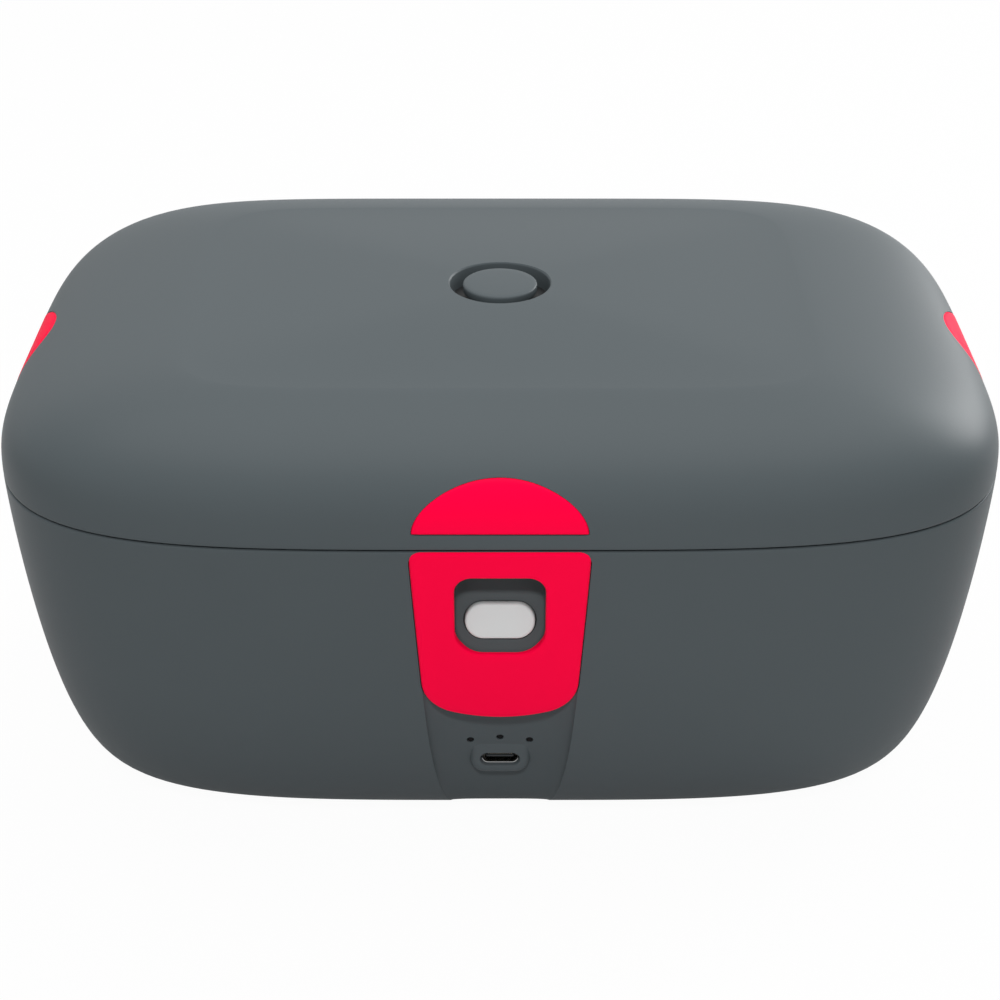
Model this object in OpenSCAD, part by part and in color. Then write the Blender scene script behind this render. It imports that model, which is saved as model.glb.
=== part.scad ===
// Electric lunch box: a moulded housing with a heated well and a battery pack,
// a domed lid hinged along the back, two side clips and a tilted button pocket.

/* [Housing] */
// Outside width at the rim
body_w = 240; // [210:1:270]
// Outside depth at the rim, front to back
body_d = 173; // [160:1:195]
// Height of the housing from its underside to the rim
body_h = 91; // [84:1:110]
// Squareness of the outline at the rim (2 is an ellipse)
rim_square = 4.2; // [3.6:0.1:6]
// Squareness of the outline at the underside
base_square = 4.0; // [3:0.1:6]
// How far each short side draws in towards the underside
body_in_x = 36.5; // [20:0.5:38]
// How far the front and the back draw in towards the underside
body_in_y = 53; // [40:0.5:55]
// Fullness of the housing's section low down
body_belly = 4.8; // [4:0.1:6]
// How soon the housing's section starts to draw in
body_fall = 1.25; // [1.1:0.05:1.6]
// Thickness of the housing's wall
wall = 4.2; // [3.6:0.1:5]
// Thickness of the wall above the ledge that carries the deck
rim_wall = 3; // [2.6:0.1:3.6]
// Width of the ledge that carries the deck
ledge_w = 2.2; // [1.5:0.1:3]
// Thickness of the housing's floor
floor_t = 4.6; // [4:0.1:6]
// Gap between the housing's rim and the lid's edge
part_gap = 0.9; // [0.6:0.1:1.4]

/* [Lid] */
// Height of the lid's shoulder above the rim
lid_h = 24.5; // [20:0.5:32]
// Rise of the lid's crown above its shoulder
lid_crown = 2.2; // [1:0.1:4]
// How far each short side of the lid draws in
lid_in_x = 44.5; // [30:0.5:50]
// How far the lid's front and back draw in
lid_in_y = 31.5; // [20:0.5:36]
// Fullness of the lid's roll over the shoulder
lid_roll = 1.35; // [1:0.05:2]
// Straightness of the lid's lower wall
lid_rise = 3.25; // [2:0.05:4]
// Squareness of the outline at the lid's shoulder
lid_square = 7.5; // [5:0.5:9]
// Thickness of the lid's wall
lid_wall = 2.6; // [2.4:0.1:3.5]
// Radius of the posts that take the liner's screws
lid_post_r = 3.6; // [3:0.1:5]
// Thickness of the liner that closes the lid from below
liner_t = 1.8; // [1.4:0.1:2.6]
// Depth of the step under the liner that centres the seal
liner_step = 2.6; // [2:0.1:3]
// Width of the seal under the lid
seal_w = 4; // [3:0.1:5]
// Height of the lid's insulation
lid_foam_h = 19; // [10:0.5:20]

/* [Front plate] */
// Width of the plate near its top
plate_w = 40.4; // [36:0.2:46]
// Width that the plate's straight sides run down to
plate_low_w = 33.6; // [30:0.2:38]
// Height of the plate
plate_h = 48.7; // [44:0.1:54]
// Distance of the plate's top edge below the rim
plate_drop = 0.5; // [0.5:0.1:1]
// Radius of the plate's upper corners
plate_top_r = 2.2; // [1:0.1:4]
// Radius of the plate's lower corners
plate_low_r = 12; // [8:0.5:14]
// Thickness of the plate
plate_t = 2; // [1.6:0.1:2.4]
// How far the plate stands out of the housing
plate_proud = 0.4; // [0.2:0.1:0.8]

/* [Button pocket] */
// Width of the window in the plate
window_w = 20; // [18:0.2:24]
// Height of the window
window_h = 21.1; // [18:0.1:24]
// Distance of the window's top below the rim
window_drop = 7.5; // [7.5:0.1:9]
// Radius of the window's upper corners
window_top_r = 4; // [2:0.1:6]
// Radius of the window's lower corners
window_low_r = 5.5; // [3:0.1:8]
// Thickness of the pocket's wall
pocket_wall = 1; // [0.8:0.1:1.2]
// Tilt of the pocket's floor, which faces up to the user
pocket_tilt = 14; // [8:1:18]
// Thickness of the pocket's floor
pocket_floor_t = 1.6; // [1.2:0.1:2]
// Width of the button
pill_w = 16.1; // [14:0.1:17]
// Height of the button
pill_h = 8.5; // [7:0.1:9.5]
// Distance of the button's centre below the rim
pill_drop = 21.9; // [20:0.1:23]
// Distance of the button's face behind the housing's surface
pill_in = 3.3; // [3:0.1:4]
// How far the button stands out of the pocket's floor
pill_proud = 1.2; // [1.1:0.1:1.6]
// Gap round the button
pill_gap = 0.3; // [0.2:0.05:0.5]
// Travel of the button
button_travel = 1; // [0.6:0.1:1.1]
// Thickness of the button's flange behind the floor
flange_t = 1; // [0.8:0.1:1.4]
// Width of the push switch
switch_w = 6; // [5:0.1:7]
// Height of the push switch's case
switch_h = 3.5; // [3:0.1:4.5]

/* [Channels] */
// Depth of the channel below each plate
channel_depth = 2.4; // [1.8:0.1:2.6]
// Half width of the channel at its top
channel_top_w = 18.3; // [17.8:0.1:20]
// Half width of the channel at the underside
channel_low_w = 8.4; // [7:0.1:11]
// Distance of the channel's top below the rim
channel_drop = 37; // [34:0.5:40]

/* [Lid inlays] */
// Width of each half-moon inlay
moon_w = 39.3; // [34:0.1:46]
// Height of each half-moon inlay
moon_h = 11.5; // [9:0.1:13]
// Height of the inlay's straight edge above the rim
moon_rise = 3.9; // [3.9:0.1:5]
// Thickness of the inlays
inlay_t = 1.3; // [1:0.1:1.6]
// How far the inlays stand out of the lid
inlay_proud = 0.1; // [0.1:0.05:0.3]

/* [Side clips] */
// Thickness of the clips
clip_t = 1.8; // [1.6:0.1:2]
// How far the clips stand out of the housing
clip_proud = 0.4; // [0.2:0.1:0.6]
// How far the clips reach up over the lid's edge
clip_rise = 3.1; // [2.4:0.1:3.1]
// Gap round a closed clip
clip_gap = 0.3; // [0.25:0.05:0.45]
// Distance of the pivot behind the housing's surface
pivot_in = 4.2; // [4:0.1:4.8]
// Height of the pivot above the clip's lower edge
pivot_up = 3; // [2.6:0.1:3.6]
// Radius of the clip's barrel
barrel_r = 2; // [1.8:0.1:2.2]
// Length of the clip's barrel
barrel_l = 16; // [12:0.5:18]
// Radius of the pivot pins
pivot_r = 0.9; // [0.8:0.05:1.1]
// Length of each lug that holds a pivot pin
lug_l = 3; // [2.4:0.1:3.4]
// Radius of the scoop behind the clip's lower edge
scoop_r = 5.8; // [5.7:0.1:6.2]

/* [Lid hinge] */
// Distance of the hinge's axis behind the rim
hinge_out = 3.6; // [3.6:0.1:5]
// Radius of the hinge's knuckles
knuckle_r = 3.2; // [2.8:0.1:3.2]
// Radius of the hinge pin
hinge_pin_r = 1.5; // [1.2:0.1:1.8]
// Length of the lid's knuckle
lid_knuckle_l = 27.6; // [20:0.2:32]
// Length of each of the housing's knuckles
body_knuckle_l = 11.8; // [8:0.2:14]
// Thickness of the hinge's leaves
leaf_t = 1; // [0.8:0.1:1.1]
// Height of the leaf on the housing
body_leaf_h = 12.4; // [10:0.2:14]
// Height of the leaf on the lid
lid_leaf_h = 6.6; // [5:0.2:7]

/* [Charge port] */
// Height of the port's centre above the housing's underside
port_up = 23.8; // [22:0.1:26]
// Width of the recess round the port
recess_w = 14.7; // [13:0.1:17]
// Height of the recess round the port
recess_h = 10.1; // [8:0.1:11]
// Depth of the recess's floor behind the housing's surface
recess_in = 3.8; // [3:0.1:4]
// Width of the port's metal shell
port_w = 8.94; // [8.94]
// Height of the port's metal shell
port_h = 3.26; // [3.26]
// Depth of the port's metal shell
port_l = 8.6; // [7.4:0.1:10]
// Thickness of the port's metal shell
port_t = 0.3; // [0.2:0.05:0.4]
// Radius of the indicator lights
light_r = 0.8; // [0.6:0.05:1.2]
// Distance between the indicator lights
light_pitch = 7.1; // [5:0.1:8]
// Height of the middle light above the port's centre
light_rise = 8.7; // [8:0.1:10]

/* [Dish and well] */
// Distance of the dish's corner centres in from each short side
corner_in_x = 58; // [56:0.5:64]
// Distance of the dish's corner centres in from the front and the back
corner_in_y = 58.5; // [56.5:0.5:64]
// Corner radius of the dish at its rim
dish_r = 32.4; // [26:0.1:34]
// Draft of the dish and the well over their height
draft = 3; // [1:0.5:4]
// Radius between the dish's wall and floor
dish_fillet = 8; // [5:0.5:12]
// Thickness of the dish
dish_t = 0.8; // [0.6:0.1:1.2]
// Width of the dish's flange
dish_flange = 5; // [4:0.5:6]
// Gap between the dish and the well
dish_gap = 0.7; // [0.5:0.1:1]
// Thickness of the well
well_t = 1.2; // [0.8:0.1:1.6]
// Width of the well's flange
well_flange = 7; // [6:0.5:8]
// Thickness of the well's flange
well_flange_t = 1; // [0.8:0.1:1.4]
// Thickness of the deck round the well
deck_t = 1.8; // [1.4:0.1:2.2]
// Distance of the deck's underside below the rim
deck_drop = 5.9; // [5.8:0.1:6.4]

/* [Heater and battery] */
// Thickness of the heater mat
heater_t = 1.2; // [0.8:0.1:2]
// Radius round the heater mat's corners
heater_r = 16; // [10:0.5:20]
// Thickness of the insulation under the heater
pad_t = 5.4; // [4:0.1:7]
// Diameter of a battery cell
cell_d = 18.4; // [18:0.1:18.6]
// Length of a battery cell
cell_l = 65; // [60:0.5:66]
// Number of cells
cells = 8; // [5:1:8]
// Distance between the cells
cell_pitch = 19.4; // [19:0.1:19.6]
// Plastic left round a cell in its holder
cell_wall = 1.5; // [1:0.1:1.8]
// Length of each end frame of the cell holder
cell_frame_l = 7; // [5:0.5:12]
// Thickness of the circuit boards
board_t = 1.6; // [1:0.1:2]
// Width of the control board
board_w = 60; // [50:1:70]

/* [Steam vent] */
// Radius of the vent's opening in the lid
vent_r = 12.5; // [11:0.1:14]
// Radius of the vent button's disc
vent_disc_r = 9.3; // [8:0.1:10]
// Thickness of the vent button's disc
vent_disc_t = 2.4; // [1.6:0.1:2.4]
// Radius of the vent button's stem
vent_stem_r = 6; // [5:0.1:6.5]
// Travel of the vent button
vent_travel = 2; // [1:0.1:2]
// Length of the vent button's stem below its disc
vent_stem_l = 10; // [8:0.5:11]

/* [Base] */
// Height of the feet
foot_h = 1.5; // [1:0.1:3]
// Radius of the feet
foot_r = 7; // [5:0.1:9]
// Distance between the feet along the width
foot_span_x = 144; // [110:1:150]
// Distance between the feet along the depth
foot_span_y = 56; // [40:1:60]
// Length of the base cover
cover_w = 176; // [172:1:178]
// Width of the base cover
cover_d = 88; // [84:1:90]
// Corner radius of the base cover
cover_r = 18; // [14:1:22]
// Thickness of the base cover
cover_t = 2; // [1.6:0.1:2.2]
// Width of the step that the base cover lies on
cover_step = 6; // [5.6:0.1:6.5]

/* [Hidden] */
$fn = 48;

charcoal = "#5c6365";
lid_charcoal = "#5f6668";
dark = "#2d3132";
red = "#f5083a";
pale = "#c4c4c4";
steel = "#b4b8ba";
aluminium = "#c8ccd0";
rubber = "#1e2021";
copper = "#c07a48";
board_green = "#1f5a3a";
foam = "#dcdcd6";
cell_blue = "#3a6ea8";
silicone = "#9aa0a2";

facets = 60;           // points round each ring of the housing and the lid
seat = 0.1;            // clearance round a piece that sits still in its recess
run = 0.05;            // radial clearance of a turning or sliding fit
apart = 0.3;           // least gap between pieces that move against each other
half_w = body_w / 2;
half_d = body_d / 2;
corner_x = body_w - 2 * corner_in_x;
corner_y = body_d - 2 * corner_in_y;
rim_z = foot_h + body_h;
body_top = rim_z - part_gap / 2;
lid_low = rim_z + part_gap / 2;
lid_top = rim_z + lid_h + lid_crown;
roof_z = rim_z + lid_h - lid_wall;
hinge_y = half_d + hinge_out;
plan_y = -(hinge_out + knuckle_r - plate_proud) / 2;

// Superellipse power that keeps the sign
function pw(v, e) = sign(v) * pow(abs(v), e);

// Outline of one level: half sizes a and b, squareness n
function oval(a, b, n) = [for (i = [0:facets - 1]) let (t = 360 * i / facets)
    [a * pw(cos(t), 2 / n), b * pw(sin(t), 2 / n)]];
function lift(outline, z) = [for (p = outline) [p[0], p[1], z]];

// Half sizes and squareness of the outer surface, from how far it has drawn in (k, 0 to 1)
function body_level(k) = [half_w - k * body_in_x, half_d - k * body_in_y,
    rim_square + (base_square - rim_square) * k];
function lid_level(k) = [half_w - k * lid_in_x, half_d - k * lid_in_y,
    rim_square + (lid_square - rim_square) * k];
function body_k(d) = 1 - pow(1 - pow(min(d / body_h, 1), body_fall), 1 / body_belly);
function lid_k(h) = 1 - pow(1 - pow(min(h / lid_h, 1), lid_rise), 1 / lid_roll);
function level(z) = z < rim_z ? body_level(body_k(rim_z - z)) : lid_level(lid_k(z - rim_z));
function level_oval(z, inset) = let (s = level(z)) oval(s[0] - inset, s[1] - inset, s[2]);

// One ring of the housing or the lid at the section angle u, drawn in by a wall
function body_ring(u, inset, height) = let (s = body_level(1 - pow(cos(u), 2 / body_belly)))
    lift(oval(s[0] - inset, s[1] - inset, s[2]), rim_z - height * pow(sin(u), 2 / body_fall));
function lid_ring(u, inset, height) = let (s = lid_level(1 - pow(cos(u), 2 / lid_roll)))
    lift(oval(s[0] - inset, s[1] - inset, s[2]), rim_z + height * pow(sin(u), 2 / lid_rise));
function level_ring(z, inset) = lift(level_oval(z, inset), z);

// Distance of the outer surface from the middle at the offset u: from the front, or from a short side
function reach(short_side, u, z) = let (s = level(z), across = short_side ? s[1] : s[0],
    out = short_side ? s[0] : s[1]) out * pow(1 - pow(abs(u) / across, s[2]), 1 / s[2]);

// Closed skin through rings of points, with a fan to a middle point at each end
module skin(rings, start, end) {
    count = len(rings[0]);
    last = len(rings) - 1;
    points = concat([for (r = rings) each r], [start, end]);
    low = len(points) - 2;
    function at(r, i) = r * count + i % count;
    polyhedron(points, concat(
        [for (i = [0:count - 1]) [low, at(0, i), at(0, i + 1)]],
        [for (r = [0:last - 1], i = [0:count - 1]) each [
            [at(r, i), at(r + 1, i), at(r + 1, i + 1)],
            [at(r, i), at(r + 1, i + 1), at(r, i + 1)]]],
        [for (i = [0:count - 1]) [low + 1, at(last, i + 1), at(last, i)]]), convexity = 6);
}

// Closed slab between two grids of points, the outer one towards the front
module slab(outer, inner) {
    rows = len(outer) - 1;
    cols = len(outer[0]) - 1;
    back = (rows + 1) * (cols + 1);
    function at(r, c) = r * (cols + 1) + c;
    function two(a, b, c, d) = [[a, b, c], [a, c, d]];
    polyhedron(concat([for (r = outer) each r], [for (r = inner) each r]), concat(
        [for (r = [0:rows - 1], c = [0:cols - 1])
            each two(at(r, c), at(r + 1, c), at(r + 1, c + 1), at(r, c + 1))],
        [for (r = [0:rows - 1], c = [0:cols - 1])
            each two(back + at(r, c), back + at(r, c + 1), back + at(r + 1, c + 1), back + at(r + 1, c))],
        [for (c = [0:cols - 1]) each two(back + at(0, c), at(0, c), at(0, c + 1), back + at(0, c + 1))],
        [for (c = [0:cols - 1])
            each two(at(rows, c), back + at(rows, c), back + at(rows, c + 1), at(rows, c + 1))],
        [for (r = [0:rows - 1]) each two(back + at(r, 0), back + at(r + 1, 0), at(r + 1, 0), at(r, 0))],
        [for (r = [0:rows - 1])
            each two(at(r, cols), at(r + 1, cols), back + at(r + 1, cols), back + at(r, cols))]),
        convexity = 4);
}

// Slab that follows the outer surface, from "inner" to "outer" off it
module curved_slab(short_side, half_u, z0, z1, outer, inner, rows = 8, cols = 4) {
    us = [for (c = [0:cols]) half_u * (2 * c / cols - 1)];
    zs = [for (r = [0:rows]) z0 + (z1 - z0) * r / rows];
    slab([for (z = zs) [for (u = us) [u, -reach(short_side, u, z) - outer, z]]],
        [for (z = zs) [for (u = us) [u, -reach(short_side, u, z) - inner, z]]]);
}

// Prism along Y, from y0 back to y1, of an outline drawn in X and Z
module prism_y(y0, y1) translate([0, y1, 0]) rotate([90, 0, 0]) linear_extrude(y1 - y0) children();

function arc(c, r, from, to, steps) = [for (i = [0:steps])
    let (t = from + (to - from) * i / steps) c + r * [cos(t), sin(t)]];

// Upright outline with straight, leaning sides and round corners
function shield(top_w, low_w, top_z, low_z, top_r, low_r, grow = 0) = let (
    top = [top_w / 2 - top_r, top_z - top_r],
    low = [low_w / 2 - low_r, low_z + low_r],
    lean = atan2(top[1] - low[1], top[0] - low[0]),
    side = lean - acos((low_r - top_r) / norm(top - low)),
    right = concat(arc(low, low_r + grow, -90, side, 6), arc(top, top_r + grow, side, 90, 4)))
    concat(right, [for (i = [len(right) - 1:-1:0]) [-right[i][0], right[i][1]]]);

// Long hole or pill: w wide and h high
module stadium(w, h) {
    square([w - h, h], center = true);
    for (s = [-1, 1]) translate([s * (w - h) / 2, 0]) circle(d = h);
}

// Rectangle with round corners: x and y between the corners' centres, r round them
module rounded(x, y, r) {
    square([x + 2 * r, y], center = true);
    square([x, y + 2 * r], center = true);
    for (sx = [-1, 1], sy = [-1, 1]) translate([sx * x / 2, sy * y / 2]) circle(r);
}

module placed() translate([0, plan_y, 0]) children();
module on_side(turn) placed() rotate([0, 0, turn]) children();

// Bar along X, centred
module bar(r, l) rotate([0, 90, 0]) cylinder(h = l, r = r, center = true);
// Round peg along Y, from y0 back to y1
module peg(r, y0, y1) translate([0, y1, 0]) rotate([90, 0, 0]) cylinder(h = y1 - y0, r = r);

// ---- Housing ----

body_inner_h = body_h - floor_t;
ledge_z = rim_z - deck_drop;
plate_back = plate_t - plate_proud;
plate_low_z = rim_z - plate_drop - plate_h;
clip_back = clip_t - clip_proud;
clip_top_z = rim_z + clip_rise;
pivot_z = plate_low_z + pivot_up;
pivot_y = -reach(true, 0, pivot_z) + pivot_in;
scoop_l = plate_low_w - 0.8;
port_z = foot_h + port_up;
recess_y = -reach(false, 0, port_z) + recess_in;
port_boss_back = recess_y + 4.4;
port_boss_h = recess_h + 3;
light_z = port_z + light_rise;
light_side_z = light_z - 1;
pill_z = rim_z - pill_drop;
pill_y = -reach(false, 0, pill_z) + pill_in;
board_z = port_z - port_h / 2 - board_t;
board_post_y = -half_d + 34.5;
board_post_x = 24;

module housing_wall() skin(
    concat(
        [for (u = [90, 88, 84, 78, 70, 60, 50, 40, 30, 20, 10]) body_ring(u, 0, body_h)],
        [level_ring(body_top, 0), level_ring(body_top, rim_wall), level_ring(ledge_z, rim_wall),
         level_ring(ledge_z - 0.01, rim_wall + ledge_w)],
        [for (u = [24, 34, 44, 54, 64, 74, 84, 90]) body_ring(u, wall, body_inner_h)]),
    [0, 0, foot_h], [0, 0, foot_h + floor_t]);

// Soft-edged channel that runs down from a plate and fades out at the underside
module channel(short_side) {
    fade = 51.6;
    taper = 50;
    bottom = body_h - 0.8;
    strips = [for (i = [-5:5]) sign(i) * (1 - pow(1 - abs(i) / 5, 2))];
    drops = [for (j = [0:12]) channel_drop + (bottom - channel_drop) * (1 - pow(1 - j / 12, 1.6))];
    function half(d) = channel_top_w
        - (channel_top_w - channel_low_w) * pow((d - channel_drop) / taper, 2);
    function deep(s, d) = channel_depth * (1 - pow((d - channel_drop) / fade, 3)) * (1 - pow(s, 6)) - 0.15;
    slab([for (j = [12:-1:0]) let (d = drops[j])
            [for (s = strips) [s * half(d), -reach(short_side, s * half(d), rim_z - d) - 6, rim_z - d]]],
        [for (j = [12:-1:0]) let (d = drops[j]) [for (s = strips)
            [s * half(d), -reach(short_side, s * half(d), rim_z - d) + deep(abs(s), d), rim_z - d]]]);
}

module plate_outline(top_z, grow = 0)
    polygon(shield(plate_w, plate_low_w, top_z, plate_low_z, plate_top_r, plate_low_r, grow));

module window_outline(grow = 0) polygon(shield(window_w, window_w, rim_z - window_drop,
    rim_z - window_drop - window_h, window_top_r, window_low_r, grow));

module plate_recess() intersection() {
    curved_slab(false, plate_w, plate_low_z - 2, rim_z + 2, 4, -plate_back);
    prism_y(-half_d - 6, -half_d + 20) plate_outline(rim_z - plate_drop, seat);
}

// Room for a closed clip, in the housing and over the lid's edge
module clip_recess() intersection() {
    curved_slab(true, plate_w, plate_low_z - 2, clip_top_z + 2, 4, -clip_back - clip_gap);
    prism_y(-half_w - 6, -half_w + 20) plate_outline(clip_top_z, clip_gap);
}

module at_pivot() translate([0, pivot_y, pivot_z]) children();

module pivot_block() at_pivot() translate([-scoop_l / 2 - 2, -pivot_in + 2, -scoop_r - 1.8])
    cube([scoop_l + 4, scoop_r + pivot_in - 0.2, 2 * scoop_r + 3.6]);

// Two lugs in the scoop that hold a clip's pin
module pivot_lugs() at_pivot() difference() {
    for (s = [-1, 1]) translate([s * (barrel_l / 2 + apart + lug_l / 2), 0, 0]) {
        bar(pivot_r + 1.4, lug_l);
        translate([-lug_l / 2, 0, -2]) cube([lug_l, scoop_r + 0.6, 4]);
    }
    bar(pivot_r, scoop_l);
}

hinge_half = lid_knuckle_l / 2 + 0.4 + body_knuckle_l;
leaf_y = half_d - leaf_t - 0.7;
body_leaf_z = rim_z - 0.5 - body_leaf_h;

module hinge_recess() translate([-hinge_half - seat, leaf_y, body_leaf_z - seat])
    cube([2 * (hinge_half + seat), 20, 40]);

module port_cuts() {
    translate([0, 0, port_z]) {
        prism_y(recess_y - 20, recess_y) stadium(recess_w, recess_h);
        prism_y(recess_y - 20, port_boss_back + 5) stadium(port_w + 2 * seat, port_h + 2 * seat);
    }
    for (s = [-1:1]) translate([s * light_pitch, 0, s == 0 ? light_z : light_side_z])
        peg(light_r, -half_d, light_board_y);
}
light_board_y = recess_y + 3;

module body_shell() {
    color(charcoal) placed() {
        difference() {
            union() {
                housing_wall();
                translate([-port_boss_w / 2, recess_y - 0.8, port_z - port_boss_h / 2])
                    cube([port_boss_w, port_boss_back - recess_y + 0.8, port_boss_h]);
                for (s = [-1, 1]) {
                    rotate([0, 0, 90 * s]) pivot_block();
                    translate([s * board_post_x, board_post_y, foot_h + floor_t - 1])
                        cylinder(h = board_z - foot_h - floor_t + 1, r = 3);
                }
            }
            channel(false);
            plate_recess();
            prism_y(-half_d - 6, -half_d + 20) window_outline(pocket_wall + seat);
            port_cuts();
            hinge_recess();
            hinge_screw_row(leaf_y, 3, body_screw_z, body_screw_x);
            base_opening();
            for (s = [-1, 1]) rotate([0, 0, 90 * s]) {
                channel(true);
                clip_recess();
                at_pivot() bar(scoop_r, scoop_l);
            }
        }
        for (s = [-1, 1]) rotate([0, 0, 90 * s]) pivot_lugs();
    }
}
port_boss_w = recess_w + 6;

// ---- Base ----

cover_z = foot_h;
screw_x = cover_w / 2 - cover_step / 2;
base_screw_spots = [[-screw_x, -18], [-screw_x, 18], [screw_x, -18], [screw_x, 18],
    [0, -(cover_d - cover_step) / 2], [0, (cover_d - cover_step) / 2]];
base_head_r = 2.4;
base_shank_r = 1.2;

module cover_outline(inset) rounded(cover_w - 2 * cover_r, cover_d - 2 * cover_r, cover_r - inset);

module base_opening() {
    translate([0, 0, cover_z - 1]) linear_extrude(cover_t + 1) cover_outline(0);
    translate([0, 0, cover_z]) linear_extrude(floor_t + 4) cover_outline(cover_step);
    for (p = base_screw_spots) translate([p[0], p[1], cover_z]) cylinder(h = floor_t, r = base_shank_r);
}

module base_cover() color(dark) placed() difference() {
    translate([0, 0, cover_z]) linear_extrude(cover_t) cover_outline(seat);
    for (p = base_screw_spots) translate([p[0], p[1], cover_z - 1]) {
        cylinder(h = 2, r = base_head_r + seat);
        cylinder(h = cover_t + 2, r = base_shank_r + seat);
    }
    at_feet() translate([0, 0, cover_z - 1]) cylinder(h = 1.4, r = foot_r + seat);
}

module base_screws() color(steel) placed() for (p = base_screw_spots) translate([p[0], p[1], cover_z]) {
    cylinder(h = 1, r = base_head_r);
    cylinder(h = floor_t, r = base_shank_r);
}

module at_feet() for (sx = [-1, 1], sy = [-1, 1])
    translate([sx * foot_span_x / 2, sy * foot_span_y / 2, 0]) children();

module feet() color(rubber) placed() at_feet() rotate_extrude()
    polygon([[0, 0], [foot_r - 0.8, 0], [foot_r, 0.8], [foot_r, foot_h + 0.4], [0, foot_h + 0.4]]);

// ---- Battery, boards and heater ----

holder_z = cover_z + cover_t;
holder_h = cell_d + 2 * cell_wall;
holder_w = (cells - 1) * cell_pitch + cell_d + 2 * cell_wall;
cell_z = holder_z + holder_h / 2;
pad_z = holder_z + holder_h;
mat_z = pad_z + pad_t;
well_z = mat_z + heater_t;
dish_z = well_z + well_t;
deck_top = ledge_z + deck_t;
well_top = deck_top + well_flange_t;
dish_top = well_top + dish_t;
link_t = 0.4;
link_h = 8;

module cell_row() for (i = [0:cells - 1]) translate([(i - (cells - 1) / 2) * cell_pitch, 0, cell_z]) children();

module cell_holder() color(dark) placed() difference() {
    for (s = [-1, 1]) translate([0, s * (cell_l - cell_frame_l) / 2, holder_z + holder_h / 2])
        cube([holder_w, cell_frame_l, holder_h], center = true);
    cell_row() peg(cell_d / 2 + run, -cell_l, cell_l);
}

module battery_cells() color(cell_blue) placed() cell_row() peg(cell_d / 2, -cell_l / 2, cell_l / 2);

// Strips that join the cells in pairs, staggered from one end to the other
module cell_links() color(steel) placed() for (s = [-1, 1], i = [0:cells - 2])
    if ((i % 2 == 0) == (s > 0)) translate([(i + 0.5 - (cells - 1) / 2) * cell_pitch,
        s * (cell_l + link_t) / 2, cell_z]) cube([cell_pitch + link_h, link_t, link_h], center = true);

module insulation_pad() color(foam) placed() difference() {
    translate([0, 0, pad_z]) linear_extrude(pad_t) rounded(corner_x, corner_y, heater_r + 2);
    translate([0, 0, mat_z - cutoff_h / 2]) cube([cutoff_l + 1, cutoff_w + 1, cutoff_h], center = true);
}
cutoff_l = 16;
cutoff_w = 7;
cutoff_h = 3.4;

module thermal_cutoff() color(pale) placed()
    translate([0, 0, mat_z - cutoff_h / 2]) cube([cutoff_l, cutoff_w, cutoff_h], center = true);

module heater_mat() color(copper) placed()
    translate([0, 0, mat_z]) linear_extrude(heater_t) rounded(corner_x, corner_y, heater_r);

module control_board() color(board_green) placed() {
    front = port_boss_back + seat;
    back = -cell_l / 2 - link_t - 3;
    translate([-board_w / 2, front, board_z]) cube([board_w, back - front, board_t]);
    translate([-board_w / 2 + 3, front + 2, board_z + board_t]) cube([9, 9, 2.4]);
    translate([board_w / 2 - 13, front + 2, board_z + board_t]) cylinder(h = 3, r = 4);
    translate([10, front + 18, board_z + board_t]) cube([7, 7, 1]);
    translate([-18, front + 18, board_z + board_t]) cube([10, 6, 1]);
}

module usb_port() color(steel) placed() translate([0, 0, port_z]) difference() {
    prism_y(recess_y + 0.2, recess_y + 0.2 + port_l) stadium(port_w, port_h);
    prism_y(recess_y, recess_y + port_l - 0.8) stadium(port_w - 2 * port_t, port_h - 2 * port_t);
}

module usb_tongue() color(dark) placed()
    translate([-3.35, recess_y + 0.9, port_z - 0.35]) cube([6.7, port_l - 1.7, 0.7]);

module light_pipes() color(pale) placed()
    for (s = [-1:1]) translate([s * light_pitch, 0, s == 0 ? light_z : light_side_z])
        peg(light_r, -reach(false, 0, light_z) + channel_depth + 0.5, light_board_y);

module light_board() color(board_green) placed() {
    low = port_z + port_boss_h / 2;
    translate([-port_boss_w / 2, light_board_y, low])
        cube([port_boss_w, port_boss_back - light_board_y, light_z + 3 - low]);
}

// ---- Deck, well and dish ----

module top_deck() color(dark) placed() translate([0, 0, ledge_z]) linear_extrude(deck_t) difference() {
    polygon(level_oval(ledge_z, rim_wall + seat));
    rounded(corner_x, corner_y, dish_r + dish_gap + well_t + 1);
}

// Outline of a tray's wall, from the middle of its corner out to its flange
function tray_wall(r, t, flange, flange_t, low, top) = let (
    foot = r - draft - dish_fillet,
    bend = [foot, low + dish_fillet])
    concat([[0, low], [foot, low]], arc(bend, dish_fillet, -72, 0, 4),
        [[r, top - flange_t], [r + flange, top - flange_t], [r + flange, top], [r - t, top]],
        arc(bend, dish_fillet - t, 0, -72, 4), [[foot, low + t], [0, low + t]]);

// Tray with drafted walls: the wall's outline turned round each corner and run along each side
module tray(wall_outline, t, low) {
    for (i = [0:3]) {
        cx = (i % 2 == 0 ? corner_x : corner_y) / 2;
        cy = (i % 2 == 0 ? corner_y : corner_x) / 2;
        rotate(90 * i) {
            translate([cx, cy, 0]) rotate_extrude(angle = 90) polygon(wall_outline);
            translate([cx, cy, 0]) rotate([90, 0, 0]) linear_extrude(2 * cy) polygon(wall_outline);
        }
    }
    translate([-corner_x / 2, -corner_y / 2, low]) cube([corner_x, corner_y, t]);
}

module heating_well() color(aluminium) placed() tray(tray_wall(dish_r + dish_gap + well_t, well_t,
    well_flange, well_flange_t, well_z, well_top), well_t, well_z);

module food_dish() color(steel) placed()
    tray(tray_wall(dish_r, dish_t, dish_flange, dish_t, dish_z, dish_top), dish_t, dish_z);

// ---- Front plate and button ----

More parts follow.
